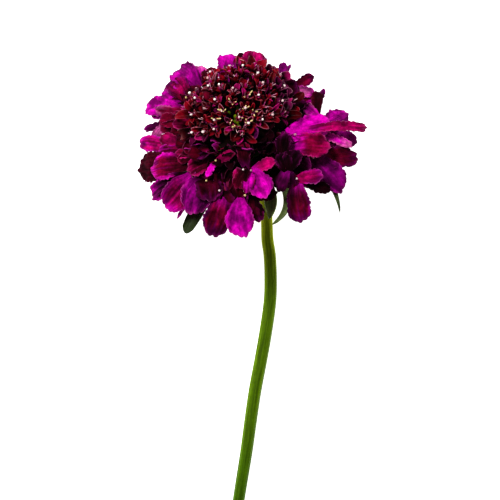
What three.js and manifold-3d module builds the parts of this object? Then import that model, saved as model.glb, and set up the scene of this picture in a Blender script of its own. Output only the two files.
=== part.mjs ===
// A single cut scabiosa (pincushion flower) that lies on a flat surface: the stem rests on the
// surface, its neck curves up, and the head leans on its rear petals and looks up and forward.
// Units are millimetres, +Z is up, the surface is z = 0 and the stem runs towards -Y.

import * as THREE from 'three';
import { mergeVertices } from 'three/addons/utils/BufferGeometryUtils.js';
import Module from 'manifold-3d';

const wasm = await Module();
wasm.setup();

// ---------------------------------------------------------------- driving dimensions

const GAP = 0.3;            // clearance between neighbouring pieces
const BLADE = 0.7;          // thickness of petals and bracts

// The head's own frame: origin at the centre of the petal ring, +Z along the head's axis.
const HEAD = { x: -0.6, y: 50, z: 22, tilt: 42, lean: 15 };

// Receptacle: a solid dish with a peg that carries the petal ring and the disc.
const DISH = {
  stemRadius: 2.2, radius: 6.5, low: -3, shoulder: [4.2, -1.8], rim: 0.4, high: 2, sides: 16,
};
const PEG = { radius: 3, top: 5 };

// Ring that all the ray florets grow from.
const RING = { inner: PEG.radius + GAP, outer: 7.5, low: DISH.high + GAP, high: 5, sides: 16 };

// Dome that all the disc florets grow from, as radii and heights, and the cushion that their
// mouths lie on. The cushion is a little off the axis, dips in the middle, and leaves its front
// edge to longer florets. The axes of all its florets meet under the youngest ones, whose place is
// given as seen from straight above.
const CORE = [
  [0, PEG.top + GAP], [7.5, PEG.top + GAP], [11.5, 7.6], [15, 9.9], [14, 11.2], [11, 11.7],
  [6, 10.7], [0, 9],
];
const CUSHION = {
  count: 56, radius: 18.6, squeeze: 0.86, shift: [-1.3, 4.2], young: [-4, 8.5, 12], heart: 11,
};
const CROWN = { middle: 11.6, rise: 3.2, reach: 13, droop: 0.04, edge: 12, uneven: 0.6 };
const FRONT = { from: 224, to: 325, beyond: 12.1 };

// One disc floret: reach of its lobes, how much longer the outer ones are, and its tube. Both are
// given for the middle of the cushion and for its edge.
const FLORET = {
  reach: [2.5, 3.8], longer: [0.15, 0.5], length: [4, 6.5], notch: 0.5, tube: 0.6, throat: 0.9,
  lift: 0.3,
};
const STYLE = { every: 2, length: 2.2, radius: 0.38, head: 0.75, sunk: 1.8 };

// Corolla tubes of the ray florets: bow is how far out each one turns up to its mouth.
const TUBE = { radius: 0.8, mouth: 1.4, sides: 4, bow: 0.6, ahead: 2, crest: 4 };

// Stem: radii, the swelling of its middle, section, and the plan of its centre line from the
// neck to the slanting cut.
const STEM = { neckRadius: 1.6, radius: 1.95, swell: 0.24, sides: 10, steps: 37, cutSlope: 0.35 };
const FLAT = Math.cos(Math.PI / STEM.sides);    // distance of the section's flats, as a share
const LIE = STEM.radius * FLAT;                 // centre line's height where the neck comes down
const NECK = { straight: 8.3, bendRadius: 42, touchdown: 14 };
const STEM_PLAN = [
  [2.8, 37.8], [4.5, 31.2], [4.8, 26], [5, 21], [5.7, 16.2], [6, 9], [5.8, 1.8], [4.5, -7.8],
  [2.8, -17.5], [1, -27.1], [-0.4, -36.7], [-1.7, -46.3], [-3.4, -57], [-5.3, -69], [-7.2, -81],
];

// Ray florets: the mouth of each one's tube, and its lobes' tips, widths and arches. Places are
// given as seen from straight above: right of the head's centre, behind it, and over the petal
// ring's plane.
const RAYS = [
  // front, from left to right
  {
    mouth: [-8, -14.5, 3],
    lobes: [[-12, -28, -3, 8.4, 2.5], [-6, -20.5, 0, 5, 1.5]],
  },
  {
    mouth: [-2.6, -16.4, 2],
    lobes: [[-2.3, -28.2, -4, 8.8, 2.5], [-3.9, -7, 10, 4, 0.8]],
  },
  {
    mouth: [0.4, -8.2, 7],
    lobes: [[5.2, -16.1, 3.5, 7.8, 1.5], [-0.9, -15, 5.5, 4.2, 1], [8, -4.8, 9, 3.8, 0.8]],
  },
  {
    mouth: [0.2, -15.5, 1],
    lobes: [[4.1, -21.8, -2, 3, 0.8], [3.2, -23.9, -3, 4.8, 0.8], [8.3, -14.3, 1, 5, 1]],
  },
  {
    mouth: [-12.8, -10, 3.5],
    lobes: [[-17.8, -21.4, 1, 10.4, 2], [-22.6, -22.9, -3, 1.6, 0.5], [-12, -17.4, 5, 8.6, 1.2]],
  },
  {
    mouth: [-18, -9.6, 3.5],
    lobes: [[-26, -19.7, -0.5, 9.4, 2], [-30.9, -15.6, -3, 7.2, 1.5]],
  },
  {
    mouth: [-18.8, -5.8, 4.5],
    lobes: [[-30.6, -7.4, 2, 8.8, 2], [-34.9, -6, -3, 9.4, 2]],
  },
  // left
  {
    mouth: [-10.5, -5.4, 6.5],
    lobes: [[-19.2, -8, 5.5, 6.4, 1], [-13.2, -9.9, 6.5, 2.4, 0.5], [-4.7, -2.4, 12, 3.4, 0.5]],
  },
  {
    mouth: [-20, -1, 4.5],
    lobes: [[-34.9, 2, 1, 5.6, 1.5], [-28, 3.4, 6, 4.6, 1], [-28.8, -1.6, 4, 3.8, 0.8]],
  },
  {
    mouth: [-16.4, -2.6, 7],
    lobes: [[-23.4, -2.2, 7, 3.6, 0.7], [-22.4, -5, 6, 3.4, 0.7]],
  },
  {
    mouth: [-19, 7, 5.5],
    lobes: [[-28.6, 8.6, 5.5, 5, 1], [-28.2, 5.6, 4, 4.4, 1]],
  },
  {
    mouth: [-25.2, 7.8, 2],
    lobes: [[-30.6, 2.8, 3, 3.2, 0.8], [-33.6, 5.9, 0, 2.8, 0.5]],
  },
  {
    mouth: [-20.6, 11.4, 4.5],
    lobes: [[-33, 13.8, 2, 7, 1.5], [-31.4, 10.6, 2, 4.8, 1], [-30.2, 12.2, 5.5, 3.4, 1]],
  },
  {
    mouth: [-20.4, 15.8, 5],
    lobes: [[-28.2, 17.8, 3.5, 6, 1], [-25.4, 22, 6, 7.6, 1.5]],
  },
  // rear
  {
    mouth: [-16.8, 19.5, 5],
    lobes: [[-22.4, 26.2, 5, 8.8, 2], [-16, 26.8, 5, 4.4, 1], [-20.3, 12.6, -7, 8, -2]],
  },
  {
    mouth: [-8, 20, 4],
    lobes: [[-6.4, 30.4, 5.5, 8, 2], [-2.2, 31, 5.5, 2.6, 0.8], [-10.1, 18.2, -6, 8, -2]],
  },
  {
    mouth: [1, 21, 4],
    lobes: [[1.2, 31.5, 6.5, 7.4, 2], [4.2, 30, 5, 4.4, 1.5], [4.3, 20.5, -6, 8, -2]],
  },
  {
    mouth: [10.4, 20.5, 7],
    lobes: [[10.6, 27.2, 8, 3.2, 0.7], [12.9, 26.6, 7.5, 1.6, 0.5], [12.6, 21.6, 6, 3, 0.8]],
  },
  {
    mouth: [12, 17.8, 5.5],
    lobes: [
      [19.9, 22.8, 6, 3.8, 0.8], [20.2, 16.5, 6.5, 4, 0.8], [18.5, 18.4, 3, 2.4, 0.8],
      [17.5, 12.8, -13, 7, -2],
    ],
  },
  // right
  {
    mouth: [21, 9.2, 5.5],
    lobes: [[21.4, 17.4, 7.5, 3.8, 1], [23.2, 18.4, 6, 2.2, 0.5], [16.8, 13, 7.5, 3.8, 0.8]],
  },
  {
    mouth: [12.6, 3, 9],
    lobes: [[24.4, 7.2, 8, 8, 1], [36.3, 5.3, 4.5, 3.6, 2.5]],
  },
  {
    mouth: [20, 4.6, 3.5],
    lobes: [
      [30.2, 10.6, 1.5, 6.6, 1.5], [31.6, -0.4, 3, 3.2, 0.8], [33.2, 1.6, -1, 6, 1],
    ],
  },
  {
    mouth: [12.8, 0.2, 7],
    lobes: [[24.6, -0.6, 6.5, 8.2, 1.2]],
  },
  {
    mouth: [19, -3.5, 1.5],
    lobes: [[33.3, -3.6, -1.5, 7.2, 1.5], [28.4, -14.2, -4, 9.6, 1.5]],
  },
  // front, right of the stem
  {
    mouth: [14.4, -10.8, 3],
    lobes: [[22.4, -9.4, 4.5, 5, 0.8], [24.7, -14, -1, 4, 0.8], [15.9, -23.8, -4, 7.4, 1.5]],
  },
  {
    mouth: [11.5, -8, 6.5],
    lobes: [
      [14.8, -1.6, 9, 6, 0.8], [9, -2.4, 10, 5.4, 0.8], [8.8, -14.6, 3, 5, 0.8],
      [13.2, -13.6, 2, 4.4, 0.8],
    ],
  },
  // upright florets at the front edge of the cushion
  {
    mouth: [10, -3.5, 9],
    lobes: [[10.6, 3.4, 10, 5.2, 0.8]],
  },
  {
    mouth: [-1, -7.6, 9],
    lobes: [[-2, 0.9, 12, 4.4, 0.6], [-4.2, -13.6, 6, 4.4, 0.8]],
  },
  // short dark lobes that fill the head between the outer petals and the cushion
  {
    mouth: [-14, 4, 5],
    lobes: [[-25.2, 4.2, 5.6, 7.4, 0.8], [-25, 10.2, 5, 6, 0.8]],
  },
  {
    mouth: [-13.5, 13, 5],
    lobes: [[-20.6, 18.6, 6.5, 7.4, 0.8], [-25, 15, 4, 5, 0.8]],
  },
  {
    mouth: [-8, -3.5, 4],
    lobes: [[-16, -12.2, 4, 7, 0.8], [-7.6, -14.4, 3, 7, 0.8], [-2.1, -19.2, 1, 6.4, 0.8]],
  },
  {
    mouth: [8.5, -3.5, 4],
    lobes: [[5.8, -12.4, 2.5, 6.4, 0.8], [18.6, -7.8, 2.5, 8, 0.8]],
  },
  {
    mouth: [11.5, 3, 4.5],
    lobes: [[19, 1.2, 3, 7.6, 0.8], [28.6, 0.6, 1.5, 4.4, 0.8]],
  },
  {
    mouth: [10.5, 11.5, 4.5],
    lobes: [[20.2, 15.4, 4.6, 7.6, 0.8]],
  },
  {
    mouth: [4.5, 18.5, 4],
    lobes: [[7.6, 26.2, 6, 6, 0.8]],
  },
  {
    mouth: [-12.5, 18.5, 4.5],
    lobes: [[-13, 26.2, 6, 6, 0.8]],
  },
];

// How petal lobes are cut and posed. facing 0 looks along the head's axis and 1 straight up, and
// ruffle is a share of the width.
const LOBE = {
  inset: 0.8, facing: 0.7, roll: 16, sway: 0.16, cup: [0.05, 0.25], ruffle: 0.06, large: 7.7,
};

// Bracts under the head: azimuth of the root, bend and tip given like the petals' tips, and width.
// The last six are hidden under the petals.
const BRACTS = [
  { from: 228, bend: [-13.5, -14, -3], tip: [-20, -27, -8], width: 4.5 },
  { from: 285, bend: [8.2, -13.5, -3], tip: [5.9, -22.6, -8], width: 4.2 },
  { from: 305, bend: [18.4, -16.2, -3.5], tip: [6.8, -24.4, -8], width: 2.6 },
  { from: 327, bend: [25.5, -2, 1], tip: [27.6, -20.8, -7], width: 2.6 },
  { from: 353, bend: [16.4, 1, 1], tip: [27.9, -5.6, -9], width: 3.6 },
  { from: 28, bend: [12.8, 7.5, 1], tip: [22.3, 5.7, -8], width: 4 },
  { from: 64, bend: [5.9, 10.8, 1], tip: [10.7, 11.5, -7], width: 4 },
  { from: 104, bend: [-3.5, 10.5, 1], tip: [-4.2, 11.6, -6], width: 4 },
  { from: 142, bend: [-11, 5.9, 1], tip: [-16.6, 4.1, -7], width: 4 },
  { from: 182, bend: [-16.9, -1.7, 1], tip: [-24.2, -8.2, -8], width: 3.8 },
];
const BRACT = { rootRadius: 3.4, rootRise: 2.6, facing: 0.5, roll: 14, cup: 0.2 };

// ---------------------------------------------------------------- frame and small helpers

const GOLDEN_ANGLE = 137.508;                                            // in degrees
const radians = THREE.MathUtils.degToRad;
const vector = (x, y, z) => new THREE.Vector3(x, y, z);

/** Repeatable number from 0 to 1 for a pair of indices. */
function draw(i, k) {
  const raw = Math.sin(i * 12.9898 + k * 78.233) * 43758.5453;
  return raw - Math.floor(raw);
}

/** Unit vectors of the head's frame in the part's frame: right, rear and axis. */
function headBasis() {
  const axis = vector(
    -Math.sin(radians(HEAD.lean)) * Math.sin(radians(HEAD.tilt)),
    Math.cos(radians(HEAD.lean)) * Math.sin(radians(HEAD.tilt)),
    Math.cos(radians(HEAD.tilt)),
  );
  const right = vector(1, 0, 0).addScaledVector(axis, -axis.x).normalize();
  const rear = axis.clone().cross(right);
  return { right, rear, axis };
}

const BASIS = headBasis();
const AXIS = vector(0, 0, 1);                                            // in the head's frame
const UP = vector(BASIS.right.z, BASIS.rear.z, BASIS.axis.z);             // the part's +Z there

/** Point in the head's frame from its azimuth in degrees, radius and height. */
function at(azimuth, radius, height) {
  const turn = radians(azimuth);
  return vector(radius * Math.cos(turn), radius * Math.sin(turn), height);
}

/** Point in the head's frame from its place as seen from straight above. */
function seen(x, y, height) {
  const { right, rear, axis } = BASIS;
  const rise = (height - axis.x * x - axis.y * y) / axis.z;
  const place = vector(x, y, rise);
  return vector(place.dot(right), place.dot(rear), place.dot(axis));
}

/** Lift a point of the head's frame until it is at least `clear` above the surface. */
function rest(point, clear) {
  const height = HEAD.z + point.dot(UP);
  return height < clear ? point.addScaledVector(UP, clear - height) : point;
}

/** Solid from points and triangles. */
function solidFrom(positions, triangles) {
  const mesh = new wasm.Mesh({
    numProp: 3,
    vertProperties: Float32Array.from(positions),
    triVerts: Uint32Array.from(triangles),
  });
  return new wasm.Manifold(mesh);
}

/** Solid from a closed three.js geometry, without the zero triangles at its poles. */
function solid(geometry) {
  const bare = geometry.clone();
  bare.deleteAttribute('normal');
  bare.deleteAttribute('uv');
  const merged = mergeVertices(bare, 1e-4);
  const index = merged.index.array;
  const kept = [];
  for (let i = 0; i < index.length; i += 3) {
    const [a, b, c] = [index[i], index[i + 1], index[i + 2]];
    if (a !== b && b !== c && c !== a) kept.push(a, b, c);
  }
  return solidFrom(merged.attributes.position.array, kept);
}

/** Join solids, and keep the one outer body: loose scraps go and sealed hollows fill. */
function fuse(solids) {
  const bodies = wasm.Manifold.union(solids).decompose();
  return bodies.reduce((best, body) => (body.volume() > best.volume() ? body : best));
}

/** three.js geometry of a solid. */
function geometryOf(body) {
  const mesh = body.getMesh();
  const geometry = new THREE.BufferGeometry();
  geometry.setAttribute('position', new THREE.BufferAttribute(mesh.vertProperties, 3));
  geometry.setIndex(new THREE.BufferAttribute(mesh.triVerts, 1));
  geometry.computeVertexNormals();
  return geometry;
}

/** Turned solid from a profile of radius and height. */
function turned(profile, sides) {
  const points = profile.map(([radius, height]) => new THREE.Vector2(radius, height));
  const geometry = new THREE.LatheGeometry(points, sides);
  geometry.rotateX(Math.PI / 2);
  return solid(geometry);
}

/**
 * Limb with a round section along a path. path and radius are functions of 0 to 1, reference is
 * the direction that one edge of the section keeps to, and slant leans the far end's cut.
 */
function limb({ path, radius, sides, steps, reference, slant = 0, twist = 0 }) {
  const geometry = new THREE.CylinderGeometry(1, 1, 1, sides, steps);
  geometry.rotateY(twist);
  const position = geometry.attributes.position;
  for (let i = 0; i < position.count; i += 1) {
    const [across, along, over] = [position.getX(i), position.getY(i) + 0.5, position.getZ(i)];
    const tangent = path(Math.min(along + 0.01, 1)).sub(path(Math.max(along - 0.01, 0))).normalize();
    const side = tangent.clone().cross(reference).normalize();
    const top = side.clone().cross(tangent);
    const size = radius(along);
    const point = path(along);
    point.addScaledVector(side, across * size).addScaledVector(top, over * size);
    if (along > 0.999) point.addScaledVector(tangent, slant * over * size);
    position.setXYZ(i, point.x, point.y, point.z);
  }
  return solid(geometry);
}

/**
 * Thin blade of even thickness. place gives the middle surface at u (root 0 to tip 1) and
 * v (-1 to 1 across), and both faces are split into triangles alike.
 */
function blade(place, cols, rows) {
  const sheet = new THREE.PlaneGeometry(2, 1, cols, rows).translate(0, 0.5, 0);
  const grid = sheet.attributes.position;
  const positions = [];
  for (const face of [1, -1]) {
    for (let i = 0; i < grid.count; i += 1) {
      const [v, u] = [grid.getX(i), grid.getY(i)];
      const across = place(u, v + 0.02).sub(place(u, v - 0.02));
      const along = place(u + 0.02, v).sub(place(u - 0.02, v));
      const normal = across.cross(along).normalize();
      const point = place(u, v).addScaledVector(normal, (face * BLADE) / 2);
      positions.push(...rest(point, face > 0 ? BLADE : 0).toArray());
    }
  }
  const triangles = Array.from(sheet.index.array);
  const far = grid.count;
  const count = triangles.length;
  for (let i = 0; i < count; i += 3) {
    triangles.push(triangles[i] + far, triangles[i + 2] + far, triangles[i + 1] + far);
  }
  const rim = rimOf(cols, rows);
  rim.forEach((a, i) => {
    const b = rim[(i + 1) % rim.length];
    triangles.push(b, a, a + far, b, a + far, b + far);
  });
  return solidFrom(positions, triangles);
}

/** Vertex numbers round the edge of a grid, anticlockwise from its first corner. */
function rimOf(cols, rows) {
  const wide = cols + 1;
  const rim = [];
  for (let row = 0; row < rows; row += 1) rim.push(row * wide);
  for (let col = 0; col < cols; col += 1) rim.push(rows * wide + col);
  for (let row = rows; row > 0; row -= 1) rim.push(row * wide + cols);
  for (let col = cols; col > 0; col -= 1) rim.push(col);
  return rim;
}

// ---------------------------------------------------------------- petals and bracts

/** Half width of a petal from root to tip, as a share of its greatest: claw, bulge, round end. */
function petalOutline(u) {
  const widest = 0.7;
  const claw = 0.38;
  if (u < widest) {
    const grow = Math.sin((Math.PI / 2) * Math.max(u, 0) / widest);
    return claw + (1 - claw) * grow ** 1.2;
  }
  const past = (u - widest) / (1 - widest);
  return 1 - 0.26 * past ** 2.2;
}

/** Half width of a bract from root to tip: slim below, widest near its blunt tip. */
function bractOutline(u) {
  const widest = 0.72;
  const foot = 0.45;
  if (u < widest) return foot + (1 - foot) * Math.max(u, 0) / widest;
  const past = (Math.min(u, 1) - widest) / (1 - widest);
  return 1 - 0.62 * past ** 2;
}

/**
 * Middle surface of a petal or bract from root to tip, all points of the head's frame. facing turns
 * its upper side up, roll turns it about the chord in degrees, and bend, or arch and sway, say how
 * it curves on the way. cup raises its edges and ruffle waves them.
 */
function leafSurface({
  root, tip, bend, arch = 0, sway = 0, facing, roll, width, cup, ruffle = 0, phase = 0, outline,
}) {
  const chord = tip.clone().sub(root);
  const length = chord.length();
  const along = chord.normalize();
  const face = faceOf(root, tip).lerp(UP, facing);
  const side = along.clone().cross(face).normalize();
  side.applyAxisAngle(along, radians(roll));
  const upper = side.clone().cross(along);
  const middle = root.clone().add(tip).multiplyScalar(0.5);
  middle.addScaledVector(upper, 2 * arch).addScaledVector(side, sway * length);
  const line = new THREE.QuadraticBezierCurve3(root, bend ?? middle, tip);
  const blunt = THREE.MathUtils.clamp((0.24 * width) / length, 0.06, 0.26);
  return (u, v) => {
    const reach = u * (1 - blunt * v * v * u);
    const point = line.getPoint(reach);
    const across = side.clone();
    const tangent = line.getTangent(reach);
    across.addScaledVector(tangent, -across.dot(tangent)).normalize();
    const normal = across.clone().cross(tangent).normalize();
    const half = (width / 2) * outline(u);
    const wave = ruffle * u * u * Math.sin(3.3 * v + 5 * u + phase);
    point.addScaledVector(across, v * half);
    return point.addScaledVector(normal, cup * half * v * v + wave);
  };
}

/** Upper side of a blade that runs from root to tip: it looks along the axis or back over it. */
function faceOf(root, tip) {
  const chord = tip.clone().sub(root);
  const flat = vector(chord.x, chord.y, 0).normalize();
  const rise = Math.atan2(chord.z, Math.hypot(chord.x, chord.y));
  return AXIS.clone().multiplyScalar(Math.cos(rise)).addScaledVector(flat, -Math.sin(rise));
}

/** One petal lobe of a ray floret, rooted inside the mouth of its tube. */
function petal(floret, number) {
  const key = floret.key * 7 + number;
  const [x, y, height, width, arch] = floret.lobes[number];
  const mouth = seen(...floret.mouth);
  const tip = seen(x, y, height);
  const root = mouth.clone().addScaledVector(tip.clone().sub(mouth).normalize(), -LOBE.inset);
  const large = width > LOBE.large;
  const surface = leafSurface({
    root,
    tip,
    arch,
    sway: LOBE.sway * (draw(key, 5) - 0.5),
    facing: LOBE.facing,
    roll: LOBE.roll * (draw(key, 1) - 0.5),
    width,
    cup: THREE.MathUtils.lerp(...LOBE.cup, draw(key, 2)),
    ruffle: LOBE.ruffle * width * draw(key, 3),
    phase: 6 * draw(key, 4),
    outline: petalOutline,
  });
  return blade(surface, large ? 3 : 2, large ? 3 : 2);
}

/** Corolla tube of a ray floret, from the ring out to its mouth. */
function corollaTube(floret) {
  const end = seen(...floret.mouth);
  const azimuth = THREE.MathUtils.radToDeg(Math.atan2(end.y, end.x));
  const radius = Math.hypot(end.x, end.y);
  const start = at(azimuth, (RING.inner + RING.outer) / 2, (RING.low + RING.high) / 2);
  const bend = at(azimuth, TUBE.bow * radius + TUBE.ahead, Math.min(end.z, TUBE.crest));
  const line = new THREE.QuadraticBezierCurve3(start, bend, end);
  return limb({
    path: (t) => line.getPoint(t),
    radius: (t) => TUBE.radius + (TUBE.mouth - TUBE.radius) * t * t,
    sides: TUBE.sides,
    steps: 1,
    reference: AXIS,
  });
}

/** All ray florets, grown together with their ring. */
function rayFlorets() {
  const ring = turned([
    [RING.inner, RING.low], [RING.outer, RING.low],
    [RING.outer, RING.high], [RING.inner, RING.high], [RING.inner, RING.low],
  ], RING.sides);
  const pieces = [ring];
  RAYS.forEach((ray, key) => {
    const floret = { ...ray, key };
    pieces.push(corollaTube(floret));
    ray.lobes.forEach((lobe, number) => pieces.push(petal(floret, number)));
  });
  return fuse(pieces);
}

// ---------------------------------------------------------------- disc of small florets

/** Place of disc floret k: root and mouth points and the direction that it opens to. */
function discPlace(k) {
  const share = (k + 0.5) / CUSHION.count;
  const azimuth = (GOLDEN_ANGLE * k + 8 * (draw(k, 11) - 0.5)) % 360;
  const radius = CUSHION.radius * Math.sqrt(share);
  const bulge = Math.sin(Math.PI * 0.5 * Math.min(radius / CROWN.reach, 1));
  const droop = CROWN.droop * Math.max(radius - CROWN.edge, 0) ** 2;
  const uneven = CROWN.uneven * (draw(k, 13) - 0.5);
  const height = CROWN.middle + CROWN.rise * bulge - droop + uneven;
  const mouth = at(azimuth, radius, height);
  mouth.x *= CUSHION.squeeze;
  mouth.add(vector(...CUSHION.shift, 0));
  const away = mouth.clone().sub(seen(...CUSHION.young));
  const direction = away.clone().addScaledVector(UP, CUSHION.heart).normalize();
  const side = direction.clone().cross(away).normalize();
  const length = THREE.MathUtils.lerp(...FLORET.length, share);
  const root = mouth.clone().addScaledVector(direction, -length);
  return { k, share, azimuth, radius, root, mouth, direction, side };
}

/** True where the cushion's front edge is left to the upright ray florets. */
function isFront({ azimuth, radius }) {
  return azimuth > FRONT.from && azimuth < FRONT.to && radius > FRONT.beyond;
}

/** One disc floret: a slim tube that opens in a five-lobed star, longer on its outer side. */
function discFloret({ k, share, root, mouth, direction, side }) {
  const geometry = new THREE.CylinderGeometry(1, 1, 2, 10, 1);
  const position = geometry.attributes.position;
  const forward = side.clone().cross(direction).normalize();
  const reach = THREE.MathUtils.lerp(...FLORET.reach, share);
  const longer = THREE.MathUtils.lerp(...FLORET.longer, share);
  const spin = radians(72) * draw(k, 14);
  for (let i = 0; i < position.count; i += 1) {
    const [x, row, z] = [position.getX(i), position.getY(i), position.getZ(i)];
    const corner = Math.round((Math.atan2(z, x) / Math.PI) * 5 + 10);
    const turn = corner * (Math.PI / 5) + spin;
    const centre = Math.hypot(x, z) < 0.5;
    const lobe = corner % 2 === 0;
    const star = reach * (lobe ? 1 + longer * Math.cos(turn) : FLORET.notch);
    const size = row < 0 ? FLORET.tube : star;
    const level = centre ? -FLORET.throat : (lobe ? FLORET.lift : 0) * reach;
    const point = row < 0 ? root.clone() : mouth.clone().addScaledVector(direction, level);
    if (!centre) {
      point.addScaledVector(forward, size * Math.cos(turn));
      point.addScaledVector(side, -size * Math.sin(turn));
    }
    position.setXYZ(i, point.x, point.y, point.z);
  }
  return solid(geometry);
}

/** Style with its round stigma, standing out of a disc floret. */
function style({ k, mouth, direction }) {
  const length = STYLE.length * (0.8 + 0.5 * draw(k, 15));
  const start = mouth.clone().addScaledVector(direction, -STYLE.sunk);
  const end = mouth.clone().addScaledVector(direction, length);
  const line = new THREE.LineCurve3(start, end);
  const filament = limb({
    path: (t) => line.getPoint(t),
    radius: () => STYLE.radius,
    sides: 3,
    steps: 1,
    reference: vector(1, 0.2, 0.1),
  });
  const stigma = new THREE.OctahedronGeometry(STYLE.head).translate(end.x, end.y, end.z);
  return [filament, solid(stigma)];
}

/** All disc florets and styles on their core. */
function discFlorets() {
  const pieces = [turned(CORE, 16).translate([...CUSHION.shift, 0])];
  for (let k = 0; k < CUSHION.count; k += 1) {
    const place = discPlace(k);
    if (!isFront(place)) {
      pieces.push(discFloret(place));
      if (k % STYLE.every === 0) pieces.push(...style(place));
    }
  }
  return fuse(pieces);
}

// ---------------------------------------------------------------- green parts

/** Receptacle with the bracts that grow round it. */
function involucre() {
  const dish = turned([
    [0, DISH.low], [DISH.stemRadius, DISH.low], DISH.shoulder, [DISH.radius, DISH.rim],
    [DISH.radius, DISH.high], [PEG.radius, DISH.high], [PEG.radius, PEG.top], [0, PEG.top],
  ], DISH.sides);
  const pieces = [dish];
  BRACTS.forEach((bract, key) => {
    const surface = leafSurface({
      root: at(bract.from, BRACT.rootRadius, DISH.low + BRACT.rootRise),
      tip: seen(...bract.tip),
      bend: seen(...bract.bend),
      facing: BRACT.facing,
      roll: BRACT.roll * (draw(key, 21) - 0.5),
      width: bract.width,
      cup: BRACT.cup,
      outline: bractOutline,
    });
    pieces.push(blade(surface, 2, 6));
  });
  return fuse(pieces);
}

/** Height of the neck's centre line over a point of its plan: an arc down to the surface. */
function neckHeight(y) {
  const ahead = Math.min(Math.max(y - NECK.touchdown, 0), NECK.bendRadius);
  return LIE + NECK.bendRadius - Math.sqrt(NECK.bendRadius ** 2 - ahead ** 2);
}

/** Radius of the stem at t along: a slim neck, and a middle that swells a little. */
function stemRadius(t) {
  const plain = THREE.MathUtils.lerp(STEM.neckRadius, STEM.radius, Math.min(t * 4, 1));
  return plain + STEM.swell * Math.sin(Math.PI * t) ** 2;
}

/** Stem from just under the receptacle, down the neck, to the slanting cut. */
function stem() {
  const centre = vector(HEAD.x, HEAD.y, HEAD.z);
  const line = new THREE.CatmullRomCurve3([
    centre.clone().addScaledVector(BASIS.axis, DISH.low - GAP),
    centre.clone().addScaledVector(BASIS.axis, -NECK.straight),
    ...STEM_PLAN.map(([x, y]) => vector(x, y, neckHeight(y))),
  ], false, 'centripetal');
  return limb({
    path: (t) => {
      const point = line.getPointAt(t);
      point.z = Math.max(point.z, stemRadius(t) * FLAT);
      return point;
    },
    radius: stemRadius,
    sides: STEM.sides,
    steps: STEM.steps,
    reference: vector(0, 0, 1),
    slant: STEM.cutSlope,
    twist: Math.PI / STEM.sides,
  });
}

// ---------------------------------------------------------------- scene graph

const green = new THREE.MeshStandardMaterial({ color: 0x56661a, roughness: 0.6, metalness: 0 });
const darkGreen = new THREE.MeshStandardMaterial({ color: 0x3a4e2c, roughness: 0.7, metalness: 0 });
const magenta = new THREE.MeshStandardMaterial({ color: 0xa0008c, roughness: 0.6, metalness: 0 });
const maroon = new THREE.MeshStandardMaterial({ color: 0x5a0a1c, roughness: 0.6, metalness: 0 });

/** Named mesh of a solid. */
function piece(name, body, material) {
  const mesh = new THREE.Mesh(geometryOf(body), material);
  mesh.name = name;
  return mesh;
}

const head = new THREE.Group();
head.position.set(HEAD.x, HEAD.y, HEAD.z);
head.setRotationFromMatrix(new THREE.Matrix4().makeBasis(BASIS.right, BASIS.rear, BASIS.axis));
head.add(
  piece('involucre', involucre(), darkGreen),
  piece('ray_florets', rayFlorets(), magenta),
  piece('disc_florets', discFlorets(), maroon),
);

const flower = new THREE.Group();
flower.add(head, piece('stem', stem(), green));

export default flower;
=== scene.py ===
"""Looks of a cut scabiosa, or pincushion flower, that lies on a plain surface.

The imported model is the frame: every piece here stands for one of its nodes and keeps its place.
Sizes are written in millimetres, turned to metres by MM, and the head's parts are laid out in the
head's own frame, with azimuth 0 at its right, 90 at its rear and 270 at its front.
"""

import logging
import math
from dataclasses import dataclass, field
from enum import Enum
from typing import Callable, Sequence

import bmesh
import bpy
from bmesh.types import BMesh, BMVert
from mathutils import Matrix, Vector, noise


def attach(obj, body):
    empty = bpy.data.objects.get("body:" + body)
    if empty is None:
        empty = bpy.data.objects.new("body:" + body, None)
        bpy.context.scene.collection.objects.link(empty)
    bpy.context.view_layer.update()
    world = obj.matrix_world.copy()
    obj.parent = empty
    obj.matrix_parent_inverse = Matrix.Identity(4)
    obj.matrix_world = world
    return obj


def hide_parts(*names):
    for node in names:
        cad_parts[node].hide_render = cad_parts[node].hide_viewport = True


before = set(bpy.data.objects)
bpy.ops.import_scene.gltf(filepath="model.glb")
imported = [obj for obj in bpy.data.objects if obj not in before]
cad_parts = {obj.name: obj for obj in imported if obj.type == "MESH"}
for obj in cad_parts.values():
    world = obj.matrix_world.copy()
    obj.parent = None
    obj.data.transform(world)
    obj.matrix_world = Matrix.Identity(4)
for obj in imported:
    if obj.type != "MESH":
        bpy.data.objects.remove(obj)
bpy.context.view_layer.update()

MM = 0.001
WELD = 1e-6                 # vertices closer than this, in metres, are one
NUDGE = 0.01                # share of a limb's length, to each side, that gives its direction
GOLDEN_ANGLE = 137.508
LOG = logging.getLogger("scabiosa")


# ------------------------------------------------------------------ small helpers

def draw(key: int, trait: int) -> float:
    """Draw a number from 0 to 1, always the same for a piece's key and the number of a trait."""
    raw = math.sin(key * 12.9898 + trait * 78.233) * 43758.5453
    return raw - math.floor(raw)


def mix(a: float, b: float, share: float) -> float:
    """Blend two numbers."""
    return a + (b - a) * share


def smooth(low: float, high: float, value: float) -> float:
    """Rise smoothly from 0 at low to 1 at high."""
    t = min(max((value - low) / (high - low), 0.0), 1.0)
    return t * t * (3.0 - 2.0 * t)


def linear(hex_code: str) -> Vector:
    """Turn an sRGB hex colour to linear red, green and blue.

    Args:
        hex_code: Six hex digits after a hash sign.

    Returns:
        The three linear channels.
    """
    channels = [int(hex_code[i:i + 2], 16) / 255 for i in (1, 3, 5)]
    return Vector([c / 12.92 if c <= 0.04045 else ((c + 0.055) / 1.055) ** 2.4 for c in channels])


def rgba(hex_code: str) -> tuple[float, float, float, float]:
    """Turn an sRGB hex colour to a linear colour with full alpha."""
    return (*linear(hex_code), 1.0)


# ------------------------------------------------------------------ the head's frame

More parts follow.
